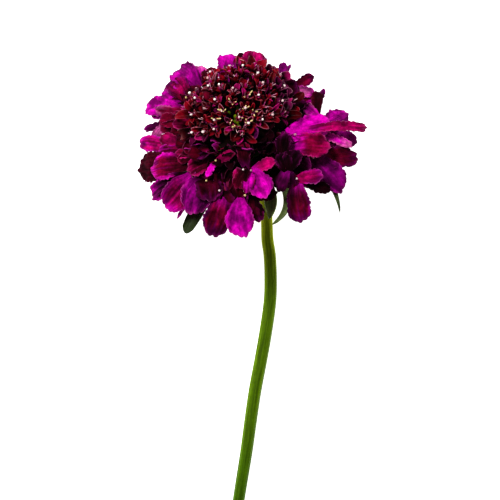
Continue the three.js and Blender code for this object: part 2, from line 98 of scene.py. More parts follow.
@dataclass(frozen=True)
class HeadFrame:
    """Place of the head: centre of the petal ring in millimetres, tilt and sideways lean."""

    centre: tuple[float, float, float] = (-0.6, 50.0, 22.0)
    tilt: float = 42.0
    lean: float = 15.0

    @property
    def axis(self) -> Vector:
        """Direction that the head faces.

        Returns:
            The direction, in the part's frame.
        """
        tilt, lean = math.radians(self.tilt), math.radians(self.lean)
        flat = math.sin(tilt)
        return Vector((-math.sin(lean) * flat, math.cos(lean) * flat, math.cos(tilt)))

    def matrix(self) -> Matrix:
        """Give the turn from the head's frame to the part's frame, its columns the head's axes.

        Returns:
            The turn, three by three.
        """
        axis = self.axis
        right = (Vector((1, 0, 0)) - axis * axis.x).normalized()
        return Matrix((right, axis.cross(right), axis)).transposed()

    def place(self, point: Vector) -> Vector:
        """Turn a point of the head's frame in millimetres to the part's frame in metres."""
        return (TURN @ point + Vector(self.centre)) * MM

    def seen(self, x: float, y: float, height: float) -> Vector:
        """Give a point of the head's frame from its place as seen from straight above.

        Args:
            x: Millimetres to the right of the head's centre.
            y: Millimetres behind it.
            height: Millimetres over the petal ring's plane, along the head's axis.

        Returns:
            The point, in millimetres.
        """
        axis = self.axis
        rise = (height - axis.x * x - axis.y * y) / axis.z
        return TURN.transposed() @ Vector((x, y, rise))

    def above(self, point: Vector, clear: float) -> Vector:
        """Lift a point of the head's frame until it is at least clear above the surface.

        Args:
            point: Point of the head's frame, in millimetres.
            clear: Least height above the surface, in millimetres.

        Returns:
            The point, straight above where it was if it was too low.
        """
        short = clear - (self.centre[2] + point.dot(UP))
        return point + UP * short if short > 0 else point


HEAD = HeadFrame()
TURN = HEAD.matrix()
AXIS = Vector((0, 0, 1))
UP = TURN.transposed() @ Vector((0, 0, 1))      # the part's +Z in the head's frame
THREAD_TOP = TURN @ Vector((0.3, 0.2, 1))       # a direction that no thread runs along


def at(azimuth: float, radius: float, height: float) -> Vector:
    """Give the point of the head's frame at an azimuth in degrees, a radius and a height."""
    turn = math.radians(azimuth)
    return Vector((radius * math.cos(turn), radius * math.sin(turn), height))


# ------------------------------------------------------------------ finishes

class Tone(Enum):
    """Petal colours of this flower, from pale backs to near-black claws."""

    GLOW = "#D400AE"
    ORCHID = "#B80098"
    PURPLE = "#80006C"
    PLUM = "#560042"
    ROSE = "#AA005E"
    WINE = "#760030"
    GARNET = "#6A0024"
    BURGUNDY = "#420018"
    # near-black of the darkest petals, also used as painted shade on lobes that fill deep gaps
    INK = "#1E000A"
    PINK = "#B8508E"


GLOW, ORCHID, PURPLE, PLUM, ROSE, WINE, GARNET, BURGUNDY, INK, PINK = Tone


def add_node(tree: bpy.types.NodeTree, kind: str, settings: dict | None = None,
             inputs: dict | None = None) -> bpy.types.Node:
    """Add a shader node with its settings and links.

    Args:
        tree: Node tree that the node joins.
        kind: Blender's name of the node's type.
        settings: Properties of the node.
        inputs: Value, or output socket to link, by the input's name or number.

    Returns:
        The new node.
    """
    node = tree.nodes.new(kind)
    for name, value in (settings or {}).items():
        setattr(node, name, value)
    for name, value in (inputs or {}).items():
        if isinstance(value, bpy.types.NodeSocket):
            tree.links.new(value, node.inputs[name])
        else:
            node.inputs[name].default_value = value
    return node


def per_mm(size: float) -> float:
    """Give the texture scale whose features are about size millimetres apart."""
    return 1.0 / (size * MM)


@dataclass(frozen=True)
class Finish:
    """A material: how rough and shiny it is, and how its own tint, kept on the mesh, varies."""

    name: str
    roughness: float
    specular: float = 0.5
    sheen: float = 0.0
    sheen_tint: str = "#FFFFFF"
    ior: float = 1.4
    cell: float = 0.5               # size of the surface's cells in millimetres
    depth: float = 0.08             # depth of the relief in millimetres
    mottle: tuple[float, float] = (0.6, 1.4)        # brightness of dark spots and pale ones
    streak: tuple[float, float] = (1.0, 1.0)        # brightness between two streaks and on one
    streak_scale: tuple[float, float] = (1.8, 0.14)     # streaks a millimetre, across and along
    pale: str = "#C878AE"           # colour of the pale patches, and its share in them
    paleness: float = 0.0
    patch: float = 4.0              # size of the pale patches in millimetres
    patchy: tuple[float, float] = (0.5, 0.62)       # noise at a patch's edge and inside it

    def grain(self, tree: bpy.types.NodeTree, size: float) -> bpy.types.NodeSocket:
        """Give noise on object coordinates with features about size millimetres across.

        Args:
            tree: The material's node tree.
            size: Size of the features, in millimetres.

        Returns:
            The socket that gives the noise.
        """
        coordinates = add_node(tree, "ShaderNodeTexCoord")
        noise_of = add_node(tree, "ShaderNodeTexNoise", inputs={
            "Vector": coordinates.outputs["Object"], "Scale": per_mm(size), "Detail": 5.0,
            "Roughness": 0.62})
        return noise_of.outputs["Fac"]

    def streaks(self, tree: bpy.types.NodeTree) -> bpy.types.NodeSocket:
        """Give uneven streaks that run along the blade or stalk and fan out with it.

        Args:
            tree: The material's node tree.

        Returns:
            The socket that gives 0 between two streaks and 1 on one.
        """
        blade = add_node(tree, "ShaderNodeAttribute", {"attribute_name": "blade"})
        drawn = add_node(tree, "ShaderNodeMapping", inputs={
            "Vector": blade.outputs["Vector"], "Scale": (*self.streak_scale, 1.0)})
        noise_of = add_node(tree, "ShaderNodeTexNoise", inputs={
            "Vector": drawn.outputs["Vector"], "Scale": 1.0, "Detail": 2.5, "Roughness": 0.6})
        sharp = add_node(tree, "ShaderNodeMapRange", {"interpolation_type": "SMOOTHSTEP"}, {
            "Value": noise_of.outputs["Fac"], "From Min": 0.36, "From Max": 0.64})
        return sharp.outputs["Result"]

    def colour(self, tree: bpy.types.NodeTree) -> bpy.types.NodeSocket:
        """Give the surface's colour: the mesh's tint, streaked, mottled and paler in patches.

        Args:
            tree: The material's node tree.

        Returns:
            The socket that gives the colour.
        """
        tint = add_node(tree, "ShaderNodeAttribute", {"attribute_name": "tint"})
        streaked = add_node(tree, "ShaderNodeMapRange", inputs={
            "Value": self.streaks(tree), "To Min": self.streak[0], "To Max": self.streak[1]})
        mottled = add_node(tree, "ShaderNodeMapRange", inputs={
            "Value": self.grain(tree, 2.5 * self.cell), "From Min": 0.3, "From Max": 0.7,
            "To Min": self.mottle[0], "To Max": self.mottle[1]})
        share = add_node(tree, "ShaderNodeMath", {"operation": "MULTIPLY"}, {
            0: streaked.outputs["Result"], 1: mottled.outputs["Result"]})
        shaded = add_node(tree, "ShaderNodeVectorMath", {"operation": "SCALE"}, {
            0: tint.outputs["Color"], "Scale": share.outputs[0]})
        patches = add_node(tree, "ShaderNodeMapRange", inputs={
            "Value": self.grain(tree, self.patch), "From Min": self.patchy[0],
            "From Max": self.patchy[1], "To Max": self.paleness})
        faded = add_node(tree, "ShaderNodeMix", {"data_type": "RGBA"}, {
            0: patches.outputs["Result"], 6: shaded.outputs["Vector"], 7: rgba(self.pale)})
        return faded.outputs[2]

    def relief(self, tree: bpy.types.NodeTree) -> bpy.types.NodeSocket:
        """Give the relief's height: the streaks, and the cells between them.

        Args:
            tree: The material's node tree.

        Returns:
            The socket that gives the height, as a share of the relief's depth.
        """
        height = add_node(tree, "ShaderNodeMath", {"operation": "MULTIPLY_ADD"}, {
            0: self.streaks(tree), 1: -0.6 if self.streak[0] != self.streak[1] else 0.0,
            2: self.grain(tree, self.cell)})
        return height.outputs[0]

    def build(self) -> bpy.types.Material:
        """Make the material.

        Returns:
            The material, named as the finish is.
        """
        material = bpy.data.materials.new(self.name)
        material.use_nodes = True
        tree = material.node_tree
        tree.nodes.clear()
        bump = add_node(tree, "ShaderNodeBump", inputs={
            "Height": self.relief(tree), "Strength": 0.7, "Distance": self.depth * MM})
        shader = add_node(tree, "ShaderNodeBsdfPrincipled", inputs={
            "Base Color": self.colour(tree), "Roughness": self.roughness, "IOR": self.ior,
            "Specular IOR Level": self.specular, "Sheen Weight": self.sheen,
            "Sheen Roughness": 0.4, "Sheen Tint": rgba(self.sheen_tint),
            "Normal": bump.outputs["Normal"]})
        add_node(tree, "ShaderNodeOutputMaterial", inputs={"Surface": shader.outputs["BSDF"]})
        return material


# Upper face of the petals: velvet of upright cells with uneven darker veins, matt all over.
PETAL_FACE = Finish("petal_velvet", roughness=0.75, specular=0.06, cell=0.4, depth=0.14,
                    mottle=(0.58, 1.46), streak=(1.1, 0.86))
# Underside of the petals: smoother, duller tissue.
PETAL_BACK = Finish("petal_underside", roughness=0.6, specular=0.1, cell=0.4, depth=0.1,
                    mottle=(0.65, 1.35), streak=(1.1, 0.8), paleness=0.05)
# Cut edge of the petals: thin tissue that lets light through and so looks paler.
PETAL_EDGE = Finish("petal_edge", roughness=0.5, specular=0.2, cell=0.4, mottle=(0.8, 1.5),
                    pale="#C84CA8", paleness=0.3, patch=2.5)
# Disc florets: taut, slightly glossy maroon tissue that catches small lights.
DISC_TISSUE = Finish("disc_floret_tissue", roughness=0.42, specular=0.08, mottle=(0.4, 1.6),
                     streak=(1.1, 0.8), streak_scale=(1.6, 0.3))
# Backs and tubes of the disc florets: the same tissue, duller.
DISC_BACK = Finish("disc_floret_underside", roughness=0.55, specular=0.05)
# Cut edges of the disc florets' lobes: glossy tissue whose pale patches are painted highlights,
# where light catches them in places.
DISC_RIM = Finish("disc_floret_rim", roughness=0.35, specular=0.25, mottle=(0.6, 1.2),
                  pale="#D090A8", paleness=0.6, patch=1.3, patchy=(0.62, 0.68))
# Stigmas, filaments and anthers: moist, waxy and pollen-dusted tissue.
WAXY_TISSUE = Finish("stigma_and_anther_tissue", roughness=0.45, cell=0.3, mottle=(0.88, 1.12))
# Bracts: dull green leaf tissue with a grey bloom of short hairs.
LEAF_TISSUE = Finish("bract_leaf_tissue", roughness=0.6, specular=0.3, sheen=0.25, cell=0.6,
                     sheen_tint="#C8D8B8", mottle=(0.7, 1.3), streak=(1.15, 0.8),
                     streak_scale=(1.2, 0.1))
# Stalk: firm green skin with faint ribs and a satin shine.
STALK_SKIN = Finish("stalk_skin", roughness=0.5, specular=0.12, depth=0.1, mottle=(0.9, 1.1),
                    streak=(1.25, 0.75), streak_scale=(2.0, 0.08))
# Cut end of the stalk: moist, spongy pith inside the skin, paler than it.
STALK_PITH = Finish("stalk_pith", roughness=0.4, specular=0.3, cell=0.25, mottle=(0.8, 1.2))


@dataclass
class Palette:
    """Materials made once and shared by the pieces."""

    made: dict[str, bpy.types.Material] = field(default_factory=dict)

    def get(self, finish: Finish) -> bpy.types.Material:
        """Give the material of a finish.

        Args:
            finish: The finish.

        Returns:
            Its material, which the first call makes.
        """
        if finish.name not in self.made:
            self.made[finish.name] = finish.build()
        return self.made[finish.name]


PALETTE = Palette()


# ------------------------------------------------------------------ meshes

class Marks:
    """Attributes that the finishes read: tint, and place on the blade."""

    def __init__(self, mesh: BMesh) -> None:
        """Add the two layers to a mesh under construction."""
        self.tint = mesh.verts.layers.float_color.new("tint")
        self.blade = mesh.verts.layers.float_vector.new("blade")

    def set(self, vert: BMVert, tint: Vector,
            blade: tuple[float, float, float] = (0, 0, 0)) -> None:
        """Write a vertex's tint, its place across and along the blade, and the blade's number."""
        vert[self.tint] = (*tint, 1.0)
        vert[self.blade] = blade


def begin() -> tuple[BMesh, Marks]:
    """Start a mesh that has the attributes."""
    mesh = bmesh.new()
    return mesh, Marks(mesh)


class Part(Enum):
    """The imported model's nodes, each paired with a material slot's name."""

    STEM = ("stem", "stem_green")
    INVOLUCRE = ("involucre", "bract_green")
    RAY_FLORETS = ("ray_florets", "petal_magenta")
    DISC_FLORETS = ("disc_florets", "floret_maroon")


def finish_piece(name: str, mesh: BMesh, part: Part, finishes: Sequence[Finish],
                 thickness: float = 0.0) -> None:
    """Turn a finished bmesh to a piece that rides on the flower.

    Args:
        name: The piece's name.
        mesh: Its bmesh, in metres in the part's frame, which is freed here.
        part: The node that it stands for.
        finishes: Finishes of the upper face, the underside and the rim; the last one given
            stands for those left out.
        thickness: Thickness in millimetres that open sheets get, or 0 for closed meshes.
    """
    node, slot = part.value
    for face in mesh.faces:
        face.smooth = True
    if thickness:
        for edge in mesh.edges:
            edge.smooth = not edge.is_boundary
    data = bpy.data.meshes.new(name)
    mesh.to_mesh(data)
    mesh.free()
    piece = bpy.data.objects.new(name, data)
    bpy.context.scene.collection.objects.link(piece)
    for finish in finishes:
        data.materials.append(PALETTE.get(finish))
    if thickness:
        wall = piece.modifiers.new("thickness", "SOLIDIFY")
        wall.thickness = thickness * MM
        wall.offset = 0.0
        wall.material_offset = min(len(finishes) - 1, 1)
        wall.material_offset_rim = len(finishes) - 1
    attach(piece, "root")
    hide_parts(node)
    LOG.info("%s: %d faces", name, len(data.polygons))


def sheet(mesh: BMesh, columns: int, rows: int, place: Callable[[float, float], Vector],
          mark: Callable[[BMVert, float, float], None]) -> None:
    """Add a grid and lay it on a surface.

    Args:
        mesh: Mesh that the grid joins.
        columns: Faces across.
        rows: Faces along.
        place: Gives the point at u, 0 to 1 along, and v, -1 to 1 across.
        mark: Writes the marks of a vertex at u and v.
    """
    made = bmesh.ops.create_grid(mesh, x_segments=columns, y_segments=rows, size=1.0)
    for vert in made["verts"]:
        v, u = vert.co.x, (vert.co.y + 1) / 2
        mark(vert, u, v)
        vert.co = place(u, v)


def limb(mesh: BMesh, sides: int, steps: int, path: Callable[[float], Vector],
         radius: Callable[[float, float], float], mark: Callable[[BMVert, float, float], None],
         reference: Vector, slant: float = 0.0) -> None:
    """Add a closed limb with a round section along a path.

    Args:
        mesh: Mesh that the limb joins.
        sides: Faces round it.
        steps: Faces along it.
        path: Gives the centre line's point at 0 to 1 along, in metres.
        radius: Gives the radius in metres at 0 to 1 along and at an angle round the section.
        mark: Writes the marks of a vertex from its share along and its angle.
        reference: Direction that the section's top keeps to.
        slant: Lean of the far end's cut.
    """
    made = bmesh.ops.create_grid(mesh, x_segments=sides, y_segments=steps, size=1.0)
    for vert in made["verts"]:
        angle, share = math.pi * vert.co.x, (vert.co.y + 1) / 2
        ahead, behind = path(min(share + NUDGE, 1.0)), path(max(share - NUDGE, 0.0))
        tangent = (ahead - behind).normalized()
        side = tangent.cross(reference).normalized()
        top = side.cross(tangent)
        size = radius(share, angle)
        point = path(share) + (side * math.cos(angle) + top * math.sin(angle)) * size
        if share > 0.999:
            point += tangent * (slant * math.sin(angle) * size)
        mark(vert, share, angle)
        vert.co = point
    bmesh.ops.remove_doubles(mesh, verts=made["verts"], dist=WELD)
    ring = [v for v in made["verts"] if v.is_valid]
    rims = [e for e in {e for v in ring for e in v.link_edges} if e.is_boundary]
    bmesh.ops.holes_fill(mesh, edges=rims, sides=0)
    bmesh.ops.recalc_face_normals(mesh, faces=list({f for v in ring for f in v.link_faces}))


def bezier(root: Vector, bend: Vector, tip: Vector, share: float) -> Vector:
    """Give a point of a curve that leaves root towards bend and ends at tip."""
    return root * (1 - share) ** 2 + bend * (2 * share * (1 - share)) + tip * share ** 2


def bezier_tangent(root: Vector, bend: Vector, tip: Vector, share: float) -> Vector:
    """Give that curve's direction."""
    return ((bend - root) * (1 - share) + (tip - bend) * share).normalized()


def thread(mesh: BMesh, marks: Marks, curve: tuple[Vector, Vector, Vector],
           radius: Callable[[float], float], tint: Callable[[float], Vector], sides: int,
           steps: int, reference: Vector = THREAD_TOP) -> None:
    """Add a thin round limb to a mesh.

    Args:
        mesh: Mesh that the thread joins.
        marks: Its attributes.
        curve: Root, bend and tip of its centre line, in the head's frame in millimetres.
        radius: Gives its radius in millimetres at 0 to 1 along.
        tint: Gives its tint at 0 to 1 along.
        sides: Faces round it.
        steps: Faces along it.
        reference: Direction that the section's top keeps to.
    """
    limb(mesh, sides, steps, lambda share: HEAD.place(bezier(*curve, share)),
         lambda share, angle: radius(share) * MM,
         lambda vert, share, angle: marks.set(vert, tint(share)), reference)


def bead(mesh: BMesh, marks: Marks, spot: Vector, radius: float, tint: Vector,
         stretch: tuple[float, float, float], segments: int, rings: int,
         lie: Matrix | None = None) -> None:
    """Add an ellipsoid to a mesh.

    Args:
        mesh: Mesh that the bead joins.
        marks: Its attributes.
        spot: Its centre, in the head's frame in millimetres.
        radius: Its radius in millimetres.
        tint: Its tint.
        stretch: Factors on its radius along its three axes.
        segments: Faces round it.
        rings: Faces from pole to pole.
        lie: Its turn in the head's frame.
    """
    turn = TURN if lie is None else TURN @ lie
    made = bmesh.ops.create_uvsphere(
        mesh, u_segments=segments, v_segments=rings, radius=radius * MM,
        matrix=Matrix.Translation(HEAD.place(spot)) @ turn.to_4x4()
        @ Matrix.Diagonal((*stretch, 1.0)))
    for vert in made["verts"]:
        marks.set(vert, tint)


def spun(mesh: BMesh, profile: Sequence[tuple[float, float]], steps: int,
         shift: tuple[float, float] = (0.0, 0.0)) -> None:
    """Add a turned solid of the head's frame.

    Args:
        mesh: Mesh that the solid joins.
        profile: Radius and height of each point, in millimetres, the first and last on the axis.
        steps: Faces round it.
        shift: Place of its axis, to the right and to the rear of the head's own.
    """
    verts = [mesh.verts.new((radius, 0, height)) for radius, height in profile]
    edges = [mesh.edges.new(pair) for pair in zip(verts, verts[1:])]
    bmesh.ops.spin(mesh, geom=verts + edges, cent=(0, 0, 0), axis=(0, 0, 1), steps=steps,
                   angle=2 * math.pi, use_merge=True)
    bmesh.ops.remove_doubles(mesh, verts=mesh.verts, dist=WELD / MM)
    bmesh.ops.recalc_face_normals(mesh, faces=mesh.faces)
    for vert in mesh.verts:
        vert.co = HEAD.place(vert.co + Vector((*shift, 0)))


def face_of(root: Vector, tip: Vector) -> Vector:
    """Give the upper side of a blade from root to tip: along the axis, or back over it.

    Args:
        root: Where the blade starts.
        tip: Where it ends.

    Returns:
        The direction that its upper side faces.
    """
    chord = tip - root
    flat = Vector((chord.x, chord.y, 0)).normalized()
    rise = math.atan2(chord.z, math.hypot(chord.x, chord.y))
    return AXIS * math.cos(rise) - flat * math.sin(rise)


def crenate(share: float, key: int, side: int) -> float:
    """Give the margin's round teeth, 0 in a notch and 1 on a tooth of uneven size."""
    tooth = math.floor(share)
    return abs(math.sin(math.pi * share)) ** 0.7 * mix(0.5, 1.0, draw(key * 31 + tooth, 50 + side))


@dataclass
class Blade:
    """A petal lobe or a bract: its middle surface in the head's frame, in millimetres."""

    root: Vector
    tip: Vector
    width: float                    # the greatest
    outline: Callable[[float], float]       # gives the half width as a share of the greatest
    key: int                        # for the draws
    arch: float = 0.0               # height of its arch
    bend: Vector | None = None      # or the point that its middle line bends towards
    turned_up: float = 0.7          # 0 faces along the head's axis, 1 faces straight up
    facing: Vector | None = None    # or the direction that it faces
    roll: float = 0.0               # turn round its own length, in degrees
    sway: float = 0.0               # sideways bow, as a share of its length
    cup: float = 0.0                # rise of its margins, as a share of its half width
    ruffle: float = 0.0             # height of its long waves
    phase: float = 0.0              # where they start, in radians
    crumple: float = 0.0            # height of its creases
    frill: float = 0.0              # height of its margin's short waves
    frill_pitch: float = 3.1        # and their length
    fold: float = 0.0               # rise of both halves from its middle, as a share
    ragged: float = 0.0             # unevenness of its outline, as a share
    tooth: float = 0.0              # depth of its margin's teeth
    tooth_pitch: float = 1.7        # and their width

    def __post_init__(self) -> None:
        """Work out the blade's length, its sideways direction and its bend."""
        chord = self.tip - self.root
        self.length = chord.length
        along = chord.normalized()
        face = self.facing or face_of(self.root, self.tip).lerp(UP, self.turned_up)
        self.side = along.cross(face).normalized()
        self.side.rotate(Matrix.Rotation(math.radians(self.roll), 3, along))
        self.blunt = min(max(0.24 * self.width / self.length, 0.06), 0.26)
        if self.bend is None:
            normal = self.side.cross(along)
            self.bend = (self.root + self.tip) / 2 + normal * (2 * self.arch) \
                + self.side * (self.sway * self.length)

    def teeth(self, u: float, v: float, half: float) -> tuple[float, float]:
        """Give how far the margin's teeth reach on along the blade and out to its side.

        Args:
            u: Share of the way from root to tip.
            v: Place across, -1 at one margin and 1 at the other.
            half: Half its width there, in millimetres.

        Returns:
            The reach along it, as a share of its length, and out, in millimetres.
        """
        tip_share = smooth(0.75, 1.0, u)
        side_share = smooth(0.7, 1.0, abs(v)) * smooth(0.3, 0.55, u) * (1 - tip_share)
        at_tip = crenate(v * half / self.tooth_pitch + 0.3 + self.key, self.key, 0) - 0.75
        at_side = crenate(u * self.length / self.tooth_pitch, self.key, 1 if v > 0 else 2) - 0.75
        return tip_share * at_tip * self.tooth / self.length, side_share * at_side * self.tooth

    def crease(self, u: float, v: float) -> float:
        """Give the height of the crumpled surface, about -1 in a crease and 1 on a ridge.

        Args:
            u: Share of the way from root to tip.
            v: Place across, -1 at one margin and 1 at the other.

        Returns:
            The height, which fades out at the root.
        """
        wide, on = v * self.width / 2, u * self.length
        pleat = 0.6 - 3.2 * abs(noise.noise(Vector((wide * 0.36, on * 0.1, self.key * 3.1))))
        fine = noise.noise(Vector((wide * 1.0, on * 0.45, self.key * 4.7 + 9)))
        swell = noise.noise(Vector((wide * 0.3, on * 0.27, self.key * 5.3 + 40)))
        return (0.4 * pleat + 0.5 * fine + 1.0 * swell) * smooth(0.05, 0.5, u)

    def relief(self, u: float, v: float, half: float) -> float:
        """Give the surface's rise over the plain arch: cup, waves, folds and a frilled margin.

        Args:
            u: Share of the way from root to tip.
            v: Place across, -1 at one margin and 1 at the other.
            half: Half its width there, in millimetres.

        Returns:
            The rise, in millimetres.
        """
        rise = self.cup * half * v * v
        rise += self.ruffle * u * u * math.sin(3.3 * v + 5 * u + self.phase)
        rise += self.fold * half * (abs(v) - 0.3) * smooth(0.1, 0.6, u)
        rise += self.crumple * self.crease(u, v)
        margin = max(smooth(0.5, 1.0, abs(v)) * smooth(0.25, 0.6, u), smooth(0.65, 1.0, u))
        around = u * self.length * (1 if v > 0 else -1) if abs(v) > u else v * half
        uneven = 0.6 + 0.8 * noise.noise(Vector((around * 0.25, self.key * 2.3, 7.0)))
        return rise + self.frill * uneven * margin * math.sin(
            2 * math.pi * around / self.frill_pitch + self.key * 1.7)

    def point(self, u: float, v: float) -> Vector:
        """Give the middle surface's point at u along and v across.

        Args:
            u: Share of the way from root to tip.
            v: Place across, -1 at one margin and 1 at the other.

        Returns:
            The point, in the head's frame in millimetres.
        """
        uneven = noise.noise(Vector((u * self.length * 0.3, self.key * 2.9, 3 if v > 0 else 8)))
        half = (self.width / 2) * self.outline(u) * (1 + self.ragged * uneven)
        reach = u * (1 - self.blunt * v * v * u)
        reach += 0.3 * self.ragged * u ** 4 * noise.noise(Vector((v * 1.7, self.key * 1.9, 5)))
        if self.tooth:
            on, out = self.teeth(u, v, half)
            reach, half = reach + on, half + out
        point = bezier(self.root, self.bend, self.tip, reach)
        tangent = bezier_tangent(self.root, self.bend, self.tip, reach)
        across = (self.side - tangent * self.side.dot(tangent)).normalized()
        normal = across.cross(tangent).normalized()
        return point + across * (v * half) + normal * self.relief(u, v, half)


# ------------------------------------------------------------------ ray florets

@dataclass(frozen=True)
class Lobe:
    """One large corolla lobe: its tip, greatest width, arch and tones.

    The tip is given as seen from above, in millimetres: right of the head's centre, behind it,
    and over the petal ring's plane.
    """

    tip: tuple[float, float, float]
    width: float
    arch: float
    tones: tuple[Tone, Tone, Tone]      # claw, middle, rim
    frill: float = 0.5                  # how wavy its margin is
    fold: float = 0.0                   # how far both halves rise from its middle
    shaded: float = 0.0                 # share by which the side at v = +1 (or -1) is darker: painted shade
    claw: float = 0.38                  # width at the root, and at the tip, as shares of width
    end: float = 0.74

    def outline(self, u: float) -> float:
        """Half width from root to tip, as a share of the greatest.

        Args:
            u: Share of the way from root to tip.

        Returns:
            The share.
        """
        widest = 0.7
        if u < widest:
            return mix(self.claw, 1, math.sin(math.pi / 2 * max(u, 0.0) / widest) ** 1.2)
        return mix(1, self.end, ((u - widest) / (1 - widest)) ** 2.2)


@dataclass(frozen=True)
class Ray:
    """A ray floret: the mouth of its tube, given like the tips, and its lobes."""

    mouth: tuple[float, float, float]
    lobes: tuple[Lobe, ...]


